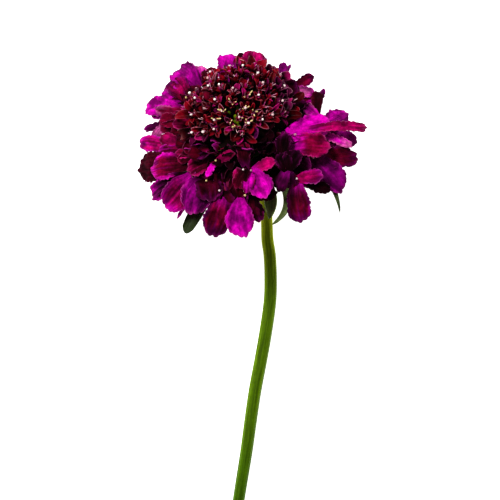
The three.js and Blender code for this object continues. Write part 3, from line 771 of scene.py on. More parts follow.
RAYS: tuple[Ray, ...] = (
    # front, from left to right
    Ray((-8, -14.5, 3), (
        Lobe((-12, -28, -3), 8.4, 2.5, (ORCHID, WINE, PURPLE), 0.8, 0.25, -0.5, end=0.85),
        Lobe((-6, -20.5, 0), 5.0, 1.5, (INK, BURGUNDY, PLUM)))),
    Ray((-2.6, -16.4, 2), (
        Lobe((-2.3, -28.2, -4), 8.8, 2.5, (ORCHID, ORCHID, GLOW), 0.7, 0.1, claw=0.15,
             end=0.86),
        Lobe((-3.9, -7, 10), 4.0, 0.8, (BURGUNDY, GARNET, ROSE), 0.4, -0.2))),
    Ray((0.4, -8.2, 7), (
        Lobe((5.2, -16.1, 3.5), 7.8, 1.5, (GLOW, GLOW, GLOW), 0.6, end=0.82),
        Lobe((-0.9, -15, 5.5), 4.2, 1.0, (GLOW, GLOW, GARNET)),
        Lobe((8.0, -4.8, 9), 3.8, 0.8, (GLOW, ROSE, ROSE), 0.4))),
    Ray((0.2, -15.5, 1), (
        Lobe((4.1, -21.8, -2), 3.0, 0.8, (INK, INK, INK), 0.5, claw=0.8),
        Lobe((3.2, -23.9, -3), 4.8, 0.8, (INK, BURGUNDY, PLUM), 0.6, end=0.6),
        Lobe((8.3, -14.3, 1), 5.0, 1.0, (INK, INK, BURGUNDY), claw=0.6))),
    Ray((-12.8, -10, 3.5), (
        Lobe((-17.8, -21.4, 1), 10.4, 2.0, (INK, PURPLE, ORCHID), 0.9, 0.0, -0.6),
        Lobe((-22.6, -22.9, -3), 1.6, 0.5, (PLUM, ORCHID, ORCHID), 0.2, end=0.4),
        Lobe((-12, -17.4, 5), 8.6, 1.2, (INK, BURGUNDY, PLUM), claw=0.5))),
    Ray((-18, -9.6, 3.5), (
        Lobe((-26, -19.7, -0.5), 9.4, 2.0, (GLOW, ROSE, ORCHID), 0.7, 0.1, 0.15),
        Lobe((-30.9, -15.6, -3), 7.2, 1.5, (INK, INK, ORCHID), 0.7))),
    Ray((-18.8, -5.8, 4.5), (
        Lobe((-30.6, -7.4, 2), 8.8, 2.0, (BURGUNDY, WINE, GLOW), 1.4),
        Lobe((-34.9, -6, -3), 9.4, 2.0, (INK, BURGUNDY, BURGUNDY), 0.6))),
    # left
    Ray((-10.5, -5.4, 6.5), (
        Lobe((-19.2, -8, 5.5), 6.4, 1.0, (BURGUNDY, BURGUNDY, ROSE), 0.4),
        Lobe((-13.2, -9.9, 6.5), 2.4, 0.5, (WINE, GLOW, GLOW), 0.3),
        Lobe((-4.7, -2.4, 12), 3.4, 0.5, (ROSE, ROSE, WINE), 0.3))),
    Ray((-20, -1, 4.5), (
        Lobe((-34.9, 2, 1), 5.6, 1.5, (WINE, ROSE, ORCHID), 0.6, end=0.5),
        Lobe((-28, 3.4, 6), 4.6, 1.0, (BURGUNDY, ROSE, WINE), 0.4),
        Lobe((-28.8, -1.6, 4), 3.8, 0.8, (BURGUNDY, BURGUNDY, ORCHID), 0.4))),
    Ray((-16.4, -2.6, 7), (
        Lobe((-23.4, -2.2, 7), 3.6, 0.7, (GARNET, GARNET, ROSE), 0.3),
        Lobe((-22.4, -5, 6), 3.4, 0.7, (BURGUNDY, BURGUNDY, WINE), 0.3))),
    Ray((-19, 7, 5.5), (
        Lobe((-28.6, 8.6, 5.5), 5.0, 1.0, (ROSE, GARNET, WINE), 0.4),
        Lobe((-28.2, 5.6, 4), 4.4, 1.0, (GARNET, BURGUNDY, WINE), 0.4))),
    Ray((-25.2, 7.8, 2), (
        Lobe((-30.6, 2.8, 3), 3.2, 0.8, (PINK, PINK, PINK), 0.4),
        Lobe((-33.6, 5.9, 0), 2.8, 0.5, (PLUM, PLUM, PURPLE), 0.5))),
    Ray((-20.6, 11.4, 4.5), (
        Lobe((-33, 13.8, 2), 7, 1.5, (PURPLE, ORCHID, ORCHID), 0.6),
        Lobe((-31.4, 10.6, 2), 4.8, 1.0, (WINE, ORCHID, ORCHID), 0.5),
        Lobe((-30.2, 12.2, 5.5), 3.4, 1.0, (WINE, WINE, PINK), 0.3))),
    Ray((-20.4, 15.8, 5), (
        Lobe((-28.2, 17.8, 3.5), 6.0, 1.0, (PURPLE, ORCHID, ORCHID), 0.5),
        Lobe((-25.4, 22, 6), 7.6, 1.5, (WINE, ROSE, PURPLE), 0.6, end=0.85))),
    # rear
    Ray((-16.8, 19.5, 5), (
        Lobe((-23.4, 25.6, 5), 8.8, 2.0, (PURPLE, ORCHID, PURPLE), 0.8, end=0.85),
        Lobe((-16, 26.8, 5), 4.4, 1.0, (PURPLE, ORCHID, PINK), 0.6),
        Lobe((-20.3, 12.6, -7), 8.0, -2, (PLUM, PLUM, PURPLE)))),
    Ray((-8, 20, 4), (
        Lobe((-6.4, 30.4, 5.5), 8, 2.0, (PURPLE, ORCHID, ORCHID), 0.5),
        Lobe((-2.2, 31, 5.5), 2.6, 0.8, (BURGUNDY, GARNET, BURGUNDY), 0.4),
        Lobe((-10.1, 18.2, -6), 8.0, -2, (PLUM, PLUM, PURPLE)))),
    Ray((1, 21, 4), (
        Lobe((1.2, 31.5, 6.5), 7.4, 2.0, (PURPLE, ROSE, ROSE), 0.6),
        Lobe((4.2, 30, 5), 4.4, 1.5, (PLUM, PURPLE, PURPLE)),
        Lobe((4.3, 20.5, -6), 8.0, -2, (PLUM, PLUM, PURPLE)))),
    Ray((10.4, 20.5, 7), (
        Lobe((10.6, 27.2, 8), 3.2, 0.7, (ORCHID, PURPLE, PURPLE), 0.4, claw=0.7, end=0.5),
        Lobe((12.9, 26.6, 7.5), 1.6, 0.5, (PURPLE, PURPLE, PURPLE), 0.3, end=0.5),
        Lobe((12.6, 21.6, 6), 3.0, 0.8, (BURGUNDY, PLUM, ORCHID)))),
    Ray((12, 17.8, 5.5), (
        Lobe((19.9, 22.8, 6), 3.8, 0.8, (WINE, WINE, PLUM), 0.3, claw=0.15, end=0.6),
        Lobe((20.2, 16.5, 6.5), 4.0, 0.8, (ORCHID, PINK, ORCHID), 0.4),
        Lobe((18.5, 18.4, 3), 2.4, 0.8, (PURPLE, PURPLE, PURPLE), 0.4),
        Lobe((17.5, 12.8, -13), 7.0, -2, (PLUM, PLUM, PURPLE)))),
    # right
    Ray((21, 9.2, 5.5), (
        Lobe((21.4, 17.4, 7.5), 3.8, 1.0, (INK, BURGUNDY, BURGUNDY), 0.4),
        Lobe((23.2, 18.4, 6), 2.2, 0.5, (WINE, PLUM, PURPLE), 0.4, claw=0.6, end=0.5),
        Lobe((16.8, 13, 7.5), 3.8, 0.8, (GLOW, GLOW, PINK), 0.4))),
    Ray((12.6, 3, 9), (
        Lobe((24.4, 7.2, 8), 8.0, 1.0, (GLOW, GLOW, GLOW), 0.4, claw=0.6, end=0.9),
        Lobe((36.3, 5.3, 4.5), 3.6, 2.5, (GLOW, ROSE, ROSE), 0.3, claw=0.4, end=0.85))),
    Ray((20, 4.6, 3.5), (
        Lobe((33.2, 1.6, -1), 6.0, 1.0, (PLUM, PURPLE, PURPLE), 0.5),
        Lobe((30.2, 10.6, 1.5), 6.6, 1.5, (PLUM, ORCHID, ORCHID), 0.5, 0.0, 0.6),
        Lobe((31.6, -0.4, 3), 3.2, 0.8, (PURPLE, ORCHID, PINK), 0.5))),
    Ray((12.8, 0.2, 7), (
        Lobe((24.6, -0.6, 6.5), 8.2, 1.2, (GLOW, WINE, ROSE), 0.9, claw=0.6),)),
    Ray((19, -3.5, 1.5), (
        Lobe((33.3, -3.6, -1.5), 7.2, 1.5, (PURPLE, WINE, PLUM), 0.9),
        Lobe((28.4, -14.2, -4), 9.6, 1.5, (PLUM, PURPLE, PURPLE), 0.7))),
    # front, right of the stem
    Ray((14.4, -10.8, 3), (
        Lobe((22.4, -9.4, 4.5), 5.0, 0.8, (ROSE, ROSE, ORCHID), 0.7),
        Lobe((24.7, -14, -1), 4.0, 0.8, (PLUM, INK, INK), 0.8),
        Lobe((15.9, -23.8, -4), 7.4, 1.5, (ORCHID, WINE, PURPLE), 0.6, 0.1, 0.65,
             claw=0.3, end=0.88))),
    Ray((11.5, -8, 6.5), (
        Lobe((14.8, -1.6, 9), 6.0, 0.8, (INK, INK, PLUM), 0.5),
        Lobe((9, -2.4, 10), 5.4, 0.8, (INK, INK, PLUM), 0.4),
        Lobe((8.8, -14.6, 3), 5.0, 0.8, (PURPLE, PLUM, INK)),
        Lobe((13.2, -13.6, 2), 4.4, 0.8, (PURPLE, PLUM, BURGUNDY)))),
    # upright florets at the front edge of the cushion
    Ray((10, -3.5, 9), (
        Lobe((10.6, 3.4, 10), 5.2, 0.8, (INK, INK, PLUM), 0.4),)),
    Ray((-1, -7.6, 9), (
        Lobe((-2, 0.9, 12), 4.4, 0.6, (PLUM, BURGUNDY, WINE), 0.3),
        Lobe((-4.2, -13.6, 6), 4.4, 0.8, (INK, BURGUNDY, WINE), 0.3))),
    # short dark lobes that fill the head between the outer petals and the cushion; the lobes are
    # real, their near-black claws are painted shade in those deep gaps
    Ray((-14, 4, 5), (
        Lobe((-25.2, 4.2, 5.6), 7.4, 0.8, (INK, BURGUNDY, GARNET), 0.4),
        Lobe((-25, 10.2, 5), 6.0, 0.8, (INK, BURGUNDY, WINE), 0.4))),
    Ray((-13.5, 13, 5), (
        Lobe((-20.6, 18.6, 6.5), 7.4, 0.8, (INK, BURGUNDY, BURGUNDY), 0.4),
        Lobe((-25, 15, 4), 5.0, 0.8, (INK, INK, BURGUNDY), 0.4))),
    Ray((-8, -3.5, 4), (
        Lobe((-16, -12.2, 4), 7.0, 0.8, (INK, BURGUNDY, PLUM), 0.6),
        Lobe((-7.6, -14.4, 3), 7.0, 0.8, (INK, INK, BURGUNDY), 0.4),
        Lobe((-2.1, -19.2, 1), 6.4, 0.8, (INK, BURGUNDY, PLUM), 0.4))),
    Ray((8.5, -3.5, 4), (
        Lobe((5.8, -12.4, 2.5), 6.4, 0.8, (INK, INK, INK), 0.4),
        Lobe((18.6, -7.8, 2.5), 8.0, 0.8, (INK, INK, PLUM), 0.4))),
    Ray((11.5, 3, 4.5), (
        Lobe((19, 1.2, 3), 7.6, 0.8, (INK, INK, BURGUNDY), 0.4),
        Lobe((28.6, 0.6, 1.5), 4.4, 0.8, (INK, INK, PLUM), 0.4))),
    Ray((10.5, 11.5, 4.5), (
        Lobe((20.2, 15.4, 4.6), 7.6, 0.8, (INK, WINE, ORCHID), 0.4),)),
    Ray((4.5, 18.5, 4), (
        Lobe((7.6, 26.2, 6), 6.0, 0.8, (INK, BURGUNDY, GARNET), 0.4),)),
    Ray((-12.5, 18.5, 4.5), (
        Lobe((-13, 26.2, 6), 6.0, 0.8, (INK, BURGUNDY, GARNET), 0.4, claw=0.8),)),
)


@dataclass
class RayFlorets:
    """The outer florets: corolla tubes that open in two or three large crenate lobes."""

    rim_high: float = 5.0           # heights and radius of the ring that the tubes grow from
    rim_low: float = 2.3
    rim_radius: float = 5.4
    tube_radius: float = 0.8
    mouth_radius: float = 1.19
    petal_thickness: float = 0.28
    cell: float = 0.32              # size of a large lobe's faces, and of a short one's
    inner_cell: float = 0.5
    inner_count: int = 190
    inner_keys: int = 500           # key of the first short lobe
    styled: float = 0.7             # share of the ray florets whose style shows
    inner_tones: tuple[tuple[Tone, Tone, Tone], ...] = (
        (BURGUNDY, WINE, ROSE), (INK, GARNET, GARNET), (INK, GARNET, WINE),
        (BURGUNDY, GARNET, BURGUNDY), (BURGUNDY, WINE, ORCHID), (INK, BURGUNDY, GARNET),
        (INK, INK, PLUM), (INK, BURGUNDY, PLUM), (INK, PLUM, PURPLE))

    def blade(self, ray: Ray, number: int, floret: int) -> Blade:
        """Give the surface of one lobe of a floret.

        Args:
            ray: The floret.
            number: The lobe's number in it.
            floret: The floret's own number.

        Returns:
            The lobe's surface.
        """
        lobe = ray.lobes[number]
        key = floret * 7 + number
        mouth, tip = HEAD.seen(*ray.mouth), HEAD.seen(*lobe.tip)
        root = mouth - (tip - mouth).normalized() * 0.8
        return Blade(
            root, tip, lobe.width, lobe.outline, key, arch=lobe.arch,
            roll=16 * (draw(key, 1) - 0.5), sway=0.16 * (draw(key, 5) - 0.5),
            cup=0.05 + 0.2 * draw(key, 2), ruffle=0.06 * lobe.width * draw(key, 3),
            phase=6 * draw(key, 4), crumple=0.16 + 0.06 * lobe.width, frill=0.3 * lobe.frill,
            fold=lobe.fold, ragged=0.16, tooth=0.6)

    @staticmethod
    def tint(lobe: Lobe, blade: Blade, u: float, v: float) -> Vector:
        """Mix a lobe's tones at a point: claw, middle and rim, streaked, with painted shade in
        creases and painted light on ridges.

        Args:
            lobe: The lobe, which has the tones.
            blade: Its surface.
            u: Share of the way from root to tip.
            v: Place across, -1 at one margin and 1 at the other.

        Returns:
            The linear colour there.
        """
        claw, middle, rim = (linear(tone.value) for tone in lobe.tones)
        streak = noise.noise(Vector((v * lobe.width * 1.1, u * 1.8, blade.key * 3.7)))
        at_claw = 1 - smooth(0.12, 0.5, u + 0.12 * streak)
        edge = max(smooth(0.55, 1.0, abs(v)) * smooth(0.2, 0.6, u), smooth(0.68, 1.0, u))
        at_rim = min(max(edge + 0.9 * streak * smooth(0.3, 0.8, u), 0.0), 1.0)
        colour = middle.lerp(rim, at_rim).lerp(claw, at_claw)
        # painted shade in the creases and painted light on the ridges of the crumpled surface
        colour *= mix(0.42, 1.35, smooth(-0.5, 0.6, blade.crease(u, v)))
        vein = noise.noise(Vector((v * lobe.width * 1.15, u * 1.3, blade.key * 6.1 + 70)))
        colour *= 1 - 0.5 * draw(blade.key, 12) * smooth(0.0, 0.35, vein) * smooth(0.1, 0.3, u)
        # pale pink margin: painted rim light
        margin = max(smooth(0.9, 1.0, abs(v)) * smooth(0.3, 0.6, u), smooth(0.93, 1.0, u))
        colour = colour.lerp(linear(PINK.value), margin * min(rim.x, 0.35))
        # painted shade on one side of the lobe
        return colour * (1 - abs(lobe.shaded) * smooth(0.0, 0.6, v * math.copysign(1, lobe.shaded)))

    def lay(self, mesh: BMesh, marks: Marks, blade: Blade, lobe: Lobe, columns: int,
            rows: int) -> None:
        """Add a lobe's sheet to a mesh.

        Args:
            mesh: Mesh that the lobe joins.
            marks: Its attributes.
            blade: The lobe's surface.
            lobe: Its width and tones.
            columns: Faces across.
            rows: Faces along.
        """
        def place(u: float, v: float) -> Vector:
            """Give the lobe's point, kept above what the flower lies on."""
            return HEAD.place(HEAD.above(blade.point(u, v), self.petal_thickness))

        def mark(vert: BMVert, u: float, v: float) -> None:
            """Write the lobe's tint and the vertex's place on it."""
            marks.set(vert, self.tint(lobe, blade, u, v),
                      (v * lobe.width / 2, u * blade.length, blade.key * 9.0))

        sheet(mesh, columns, rows, place, mark)

    def inner_blade(self, number: int, key: int) -> tuple[Blade, Lobe]:
        """Give the surface and the tones of one short lobe near the cushion.

        Args:
            number: The lobe's number; every third one lies low and is nearly black, painted shade
                in the gaps, and the others are redder at the left and more purple at the right.
            key: Its key for the draws.

        Returns:
            The lobe's surface, and its width, arch and tones.
        """
        azimuth = (GOLDEN_ANGLE * number + 14 * draw(key, 1)) % 360
        front = smooth(215, 240, azimuth) * (1 - smooth(320, 350, azimuth))
        radius = mix(mix(11, 16.5, draw(key, 2)), mix(5.5, 14, draw(key, 2)), front)
        beside = smooth(325, 345, azimuth) + 1 - smooth(25, 45, azimuth)
        height = mix(mix(5.5, 8.5, draw(key, 3)), mix(4, 9, draw(key, 3)), front) - 3 * beside
        lean = mix(mix(50, 85, draw(key, 4)), mix(5, 80, draw(key, 4)), front)
        right = 0.5 + 0.5 * math.cos(math.radians(azimuth + 30))
        tones = self.inner_tones[int(mix(draw(key, 8), right, 0.45) * len(self.inner_tones))]
        length = mix(4.0, 7.5, draw(key, 6))
        # near-black lobes at the front: painted shade in the gap in front of the cushion
        if draw(key, 13) < 0.5 * front:
            tones = (INK, INK, INK)
        # every third lobe lies low in near-black: painted shade between the petals and the cushion
        if number % 3 == 0:
            radius, height = mix(7, 15, draw(key, 2)), mix(1, 4, draw(key, 3))
            lean, length, tones = 80, 8.0, (INK, INK, BURGUNDY)
        turn = math.radians(lean)
        outward = at(azimuth + 50 * (draw(key, 5) - 0.5), math.sin(turn), math.cos(turn))
        root = at(azimuth, radius, height) + Vector((-1.0, 1.5, 0))
        lobe = Lobe((0, 0, 0), length * mix(0.55, 0.85, draw(key, 7)), 0.8, tones)
        blade = Blade(
            root, root + outward * length, lobe.width, lobe.outline, key, arch=lobe.arch,
            turned_up=0.4, roll=70 * (draw(key, 9) - 0.5), sway=0.3 * (draw(key, 10) - 0.5),
            cup=mix(-0.1, 0.7, draw(key, 11)), crumple=0.5, frill=0.2, ragged=0.2, tooth=0.3)
        return blade, lobe

    def build_inner(self) -> None:
        """Make the short crumpled lobes between the large petals and the cushion."""
        mesh, marks = begin()
        for number in range(self.inner_count):
            blade, lobe = self.inner_blade(number, self.inner_keys + number)
            self.lay(mesh, marks, blade, lobe, round(lobe.width / self.inner_cell),
                     round(blade.length / self.inner_cell))
        finish_piece("inner_lobes", mesh, Part.RAY_FLORETS, [PETAL_FACE, PETAL_BACK],
                     thickness=self.petal_thickness)

    def build_styles(self) -> None:
        """Make the pale styles that stand in the mouths of most ray florets."""
        mesh, marks = begin()
        for floret, ray in enumerate(RAYS):
            if draw(floret, 80) > self.styled:
                continue
            mouth = HEAD.seen(*ray.mouth)
            way = (UP + Vector((draw(floret, 81) - 0.5, draw(floret, 82) - 0.5, 0))).normalized()
            end = mouth + way * mix(2.5, 4.5, draw(floret, 83))
            bend = (mouth + end) / 2 + AXIS * 0.8
            shaft = linear("#80104A")
            stigma = linear(("#F0E0DC", "#E8D090", "#C890A0")[floret % 3])
            thread(mesh, marks, (mouth, bend, end),
                   lambda share: mix(0.14, 0.36, smooth(0.75, 0.9, share)),
                   lambda share: shaft.lerp(stigma, smooth(0.6, 0.8, share)), sides=7, steps=8)
        finish_piece("ray_styles", mesh, Part.RAY_FLORETS, [WAXY_TISSUE])

    def build_tube(self, ray: Ray, floret: int) -> None:
        """Make the corolla tube of a floret, from the ring out to its mouth.

        Args:
            ray: The floret.
            floret: Its number.
        """
        mesh, marks = begin()
        end = HEAD.seen(*ray.mouth)
        radius, azimuth = math.hypot(end.x, end.y), math.degrees(math.atan2(end.y, end.x))
        start = at(azimuth, self.rim_radius, (self.rim_low + self.rim_high) / 2)
        bend = at(azimuth, 0.6 * radius + 2, min(end.z - 0.6, 4))
        pale, dark = linear(PINK.value) * 0.6, linear(WINE.value)
        thread(mesh, marks, (start, bend, end),
               lambda share: mix(self.tube_radius, self.mouth_radius, share * share),
               lambda share: pale.lerp(dark, share), sides=10, steps=8, reference=HEAD.axis)
        finish_piece(f"ray_tube_{floret:02d}", mesh, Part.RAY_FLORETS, [PETAL_BACK])

    def build(self) -> None:
        """Make every ray floret: a piece for its lobes and one for its tube."""
        for floret, ray in enumerate(RAYS):
            mesh, marks = begin()
            for number, lobe in enumerate(ray.lobes):
                blade = self.blade(ray, number, floret)
                self.lay(mesh, marks, blade, lobe, max(round(lobe.width / self.cell), 6),
                         max(round(blade.length / self.cell), 8))
            finish_piece(f"ray_floret_{floret:02d}", mesh, Part.RAY_FLORETS,
                         [PETAL_FACE, PETAL_BACK, PETAL_EDGE], thickness=self.petal_thickness)
            self.build_tube(ray, floret)
        self.build_inner()
        self.build_styles()


# ------------------------------------------------------------------ disc of small florets

@dataclass(frozen=True)
class DiscPlace:
    """Where a disc floret stands: its number, share of the way out, and its own frame."""

    number: int
    share: float
    azimuth: float
    radius: float
    root: Vector
    mouth: Vector
    direction: Vector
    side: Vector
    forward: Vector


@dataclass
class DiscFlorets:
    """The cushion: maroon florets with cupped lobes, their styles and stamens, and the core.

    A pair of sizes is for the middle of the cushion and for its edge.
    """

    count: int = 56                 # places for florets
    spread: float = 18.6            # the cushion's radius, and its width as a share of its depth
    squeeze: float = 0.86
    shift: tuple[float, float] = (-1.3, 4.2)        # its place, to the right and to the rear
    middle: float = 11.6            # height of its middle, and how far its shoulder is over that
    crown: float = 3.2
    front: tuple[float, float, float] = (224.0, 325.0, 12.1)    # azimuths and radius of its gap
    depth: tuple[float, float] = (4.0, 6.5)         # length of the tubes
    reach: tuple[float, float] = (2.3, 3.5)         # length of the lobes
    longer: tuple[float, float] = (0.45, 1.0)       # what the lobes that point outwards have more
    outer: int = 6                  # cupped lobes of a floret, and small upright ones inside
    inner: int = 5
    young: tuple[float, float, float] = (-4.0, 8.5, 12.0)   # the youngest florets, seen from above
    young_radius: float = 8.0
    heart: float = 11.0             # how far under the youngest florets the axes of all meet
    lobe_thickness: float = 0.22
    style_radius: float = 0.16
    stigma_radius: tuple[float, float] = (0.4, 0.52)
    filament_radius: float = 0.14
    anther_radius: float = 0.25
    bud_count: int = 22
    bud_keys: int = 900             # key of the first bud, and of the first bristle
    bristle_keys: int = 1200
    bud_spread: float = 6.0
    bud_colours: tuple[str, ...] = ("#7A8A10", "#5A6A0C", "#4A000C", "#2A0008")
    bristle_count: int = 130
    bristle_colours: tuple[str, ...] = ("#0C0A06", "#1A0006", "#2A3A10", "#6A7A28", "#C8C8A8",
                                        "#4A000C", "#8A1050")
    core: tuple[tuple[float, float], ...] = (
        (0, 5.3), (7.5, 5.3), (11.5, 7.4), (14.4, 8.9), (13.4, 9.8), (11, 10.2), (6, 9.3),
        (0, 7.8))

    def place(self, k: int) -> DiscPlace:
        """Work out where a floret stands.

        Args:
            k: The floret's number, which counts outwards from the middle.

        Returns:
            Its place.
        """
        share = (k + 0.5) / self.count
        azimuth = (GOLDEN_ANGLE * k + 8 * (draw(k, 11) - 0.5)) % 360
        radius = self.spread * math.sqrt(share)
        bulge = math.sin(math.pi / 2 * min(radius / 13, 1))
        droop = 0.04 * max(radius - 12, 0) ** 2
        height = self.middle + self.crown * bulge - droop + 0.6 * (draw(k, 13) - 0.5)
        mouth = at(azimuth, radius, height)
        mouth.x *= self.squeeze
        mouth += Vector((*self.shift, 0))
        away = mouth - HEAD.seen(*self.young)
        direction = (away + UP * self.heart).normalized()
        root = mouth - direction * mix(*self.depth, share)
        side = direction.cross(away).normalized()
        forward = side.cross(direction).normalized()
        return DiscPlace(k, share, azimuth, radius, root, mouth, direction, side, forward)

    def places(self) -> list[DiscPlace]:
        """Give the places of all florets, without the front edge, which longer florets take.

        Returns:
            The places, from the middle outwards.
        """
        low, high, beyond = self.front
        every = [self.place(k) for k in range(self.count)]
        return [p for p in every if not (low < p.azimuth < high and p.radius > beyond)]

    def from_young(self, place: DiscPlace) -> float:
        """Give the distance of a floret from the youngest ones."""
        return (place.mouth - HEAD.seen(*self.young)).length

    @staticmethod
    def outline(u: float) -> float:
        """Half width of a floret's lobe from throat to tip, as a share of its greatest.

        Args:
            u: Share of the way from throat to tip.

        Returns:
            The share.
        """
        widest = 0.62
        if u < widest:
            return 0.42 + 0.58 * math.sin(math.pi / 2 * max(u, 0.0) / widest)
        return 1 - 0.42 * ((u - widest) / (1 - widest)) ** 2

    def build_corollas(self, places: Sequence[DiscPlace]) -> None:
        """Make the florets' lobes: cupped outer ones, and small upright inner ones.

        Args:
            places: Places of the florets.
        """
        mesh, marks = begin()
        for place in places:
            reach, longer = mix(*self.reach, place.share), mix(*self.longer, place.share)
            spin = math.radians(72) * draw(place.number, 14)
            for lobe in range(self.outer + self.inner):
                key = place.number * 11 + lobe
                inner = lobe >= self.outer
                turn = spin + math.radians(lobe * 360 / self.outer + 30 * draw(key, 49))
                size = mix(0.5, 0.75, draw(key, 50)) if inner else \
                    (1 + longer * math.cos(turn)) * mix(0.78, 1.12, draw(key, 50))
                self.build_spoon(mesh, marks, place, turn, reach * size, key, inner)
        finish_piece("disc_corollas", mesh, Part.DISC_FLORETS,
                     [DISC_TISSUE, DISC_BACK, DISC_RIM], thickness=self.lobe_thickness)

    def build_spoon(self, mesh: BMesh, marks: Marks, place: DiscPlace, turn: float, length: float,
                    key: int, inner: bool) -> None:
        """Add one lobe of a disc floret: a small cupped blade that rises from the throat.

        Args:
            mesh: Mesh that the lobe joins.
            marks: Its attributes.
            place: The floret's place.
            turn: Angle of the lobe round the floret, 0 away from the head's axis, in radians.
            length: The lobe's length in millimetres.
            key: The lobe's number.
            inner: True for the small upright lobes inside.
        """
        outward = place.forward * math.cos(turn) - place.side * math.sin(turn)
        across = place.direction.cross(outward)
        rise = mix(0.7, 1.1, draw(key, 31)) if inner else mix(-0.1, 0.7, draw(key, 31))
        out = mix(0.2, 0.6, draw(key, 32)) if inner else mix(0.8, 1.02, draw(key, 32))
        root = place.mouth + outward * 0.4 - place.direction * 1.4
        tip = place.mouth + outward * (length * out) + place.direction * (length * rise) \
            + across * (0.3 * length * (draw(key, 33) - 0.5))
        bend = place.mouth + outward * (length * mix(0.35, 0.75, draw(key, 37))) \
            + place.direction * (length * mix(-0.2, 0.55, draw(key, 38)))
        width = length * mix(0.36, 0.66, draw(key, 34))
        blade = Blade(
            root, tip, width, self.outline, key, bend=bend, facing=place.direction - outward * 0.3,
            roll=45 * (draw(key, 39) - 0.5), cup=mix(0.5, 1.2, draw(key, 40)),
            crumple=0.3, frill=0.1)
        # near-black tone of the throat: painted shade
        dark = linear("#0A0002").lerp(linear("#200006"), draw(key, 35))
        light = linear("#5A000E").lerp(linear("#B00A2C"), draw(key, 47) ** 1.5)
        if draw(key, 48) < 0.08 + 0.65 * smooth(8, 15, place.mouth.x):
            light = linear("#6A0044")
        elif draw(key, 48) > 0.9:
            light = linear("#C8147A")
        # pale pink of the edges: painted highlight
        pale = linear("#B87088")

        def mark(vert: BMVert, u: float, v: float) -> None:
            """Write the lobe's tint: painted shade in its throat, darker down its middle, with a
            painted highlight on its edge here and there.

            Args:
                vert: The vertex.
                u: Share of the way from root to tip.
                v: Place across, -1 at one margin and 1 at the other.
            """
            # painted highlight on the edges of a few lobes
            edge = max(smooth(0.8, 1.0, abs(v)), smooth(0.86, 1.0, u)) * draw(key, 36) ** 5
            skin = dark.lerp(light, smooth(0.35, 0.8, u) * mix(0.6, 1.0, abs(v)))
            marks.set(vert, skin.lerp(pale, 0.9 * edge * smooth(0.3, 0.6, u)))

        sheet(mesh, columns=6, rows=7, place=lambda u, v: HEAD.place(blade.point(u, v)), mark=mark)

    def build_tubes(self, places: Sequence[DiscPlace]) -> None:
        """Make the florets' slim tubes.

        Args:
            places: Places of the florets.
        """
        mesh, marks = begin()
        for place in places:
            mouth = place.mouth - place.direction * 1.0
            thread(mesh, marks, (place.root, (place.root + mouth) / 2, mouth),
                   lambda share: mix(0.5, 0.75, share), lambda share: linear("#2A0008"),
                   sides=7, steps=3)
        finish_piece("disc_tubes", mesh, Part.DISC_FLORETS, [DISC_BACK])

    def build_styles(self, places: Sequence[DiscPlace]) -> None:
        """Make the styles with their round cream-white stigmas.

        Args:
            places: Places of the florets.
        """
        threads, thread_marks = begin()
        heads, head_marks = begin()
        for place in places:
            k = place.number
            if k % 2 and draw(k, 46) > 0.25:
                continue
            length = 2.2 * (0.8 + 0.5 * draw(k, 15))
            start = place.mouth - place.direction * 1.6
            end = place.mouth + place.direction * length
            bend = (start + end) / 2 + place.side * (draw(k, 41) - 0.5)
            thread(threads, thread_marks, (start, bend, end), lambda share: self.style_radius,
                   lambda share: linear("#8A1050"), sides=6, steps=4)
            tint = linear("#FFF8F0").lerp(linear("#E0A8B0"), draw(k, 55) ** 3)
            bead(heads, head_marks, end, mix(*self.stigma_radius, draw(k, 53)), tint,
                 (mix(0.7, 1.1, draw(k, 54)), 1.0, 0.8), segments=10, rings=7)
        finish_piece("styles", threads, Part.DISC_FLORETS, [WAXY_TISSUE])
        finish_piece("stigmas", heads, Part.DISC_FLORETS, [WAXY_TISSUE])

    def build_stamens(self, places: Sequence[DiscPlace]) -> None:
        """Make the stamens: threads on every floret, with cream-yellow anthers on young ones.

        Args:
            places: Places of the florets.
        """
        threads, thread_marks = begin()
        anthers, anther_marks = begin()
        for place in places:
            young = self.from_young(place) < self.young_radius
            for stamen in range(4 if young else 3):
                key = place.number * 4 + stamen
                turn = math.radians(360 * draw(key, 43))
                outward = place.forward * math.cos(turn) + place.side * math.sin(turn)
                start = place.mouth - place.direction * 1.2
                end = place.mouth + place.direction * mix(1.0, 2.8, draw(key, 44)) \
                    + outward * mix(0.5, 1.4, draw(key, 45))
                bend = start + place.direction * 1.8
                tint = linear("#B03080").lerp(linear("#F0C8C8"), draw(key, 57) ** 1.5)
                thread(threads, thread_marks, (start, bend, end),
                       lambda share: self.filament_radius, lambda share: tint, sides=5, steps=4)
                if young and draw(key, 42) < 0.6:
                    lie = (end - bend).normalized().to_track_quat("Z", "Y").to_matrix()
                    bead(anthers, anther_marks, end, self.anther_radius, linear("#F6E09A"),
                         (1.0, 1.0, 2.4), segments=8, rings=6, lie=lie)
        finish_piece("filaments", threads, Part.DISC_FLORETS, [WAXY_TISSUE])
        finish_piece("anthers", anthers, Part.DISC_FLORETS, [WAXY_TISSUE])

    def build_buds(self) -> None:
        """Make the closed buds, some still green, between the youngest florets."""
        mesh, marks = begin()
        centre = HEAD.seen(*self.young)
        for bud in range(self.bud_count):
            key = self.bud_keys + bud
            spot = at(GOLDEN_ANGLE * bud, self.bud_spread * math.sqrt(bud / self.bud_count),
                      mix(-2.6, -1.2, draw(key, 61)))
            tint = linear(self.bud_colours[int(len(self.bud_colours) * draw(key, 63))])
            bead(mesh, marks, centre + spot, mix(0.6, 0.85, draw(key, 62)), tint,
                 (1.0, 1.0, 1.5), segments=9, rings=7)
        finish_piece("young_buds", mesh, Part.DISC_FLORETS, [DISC_TISSUE])

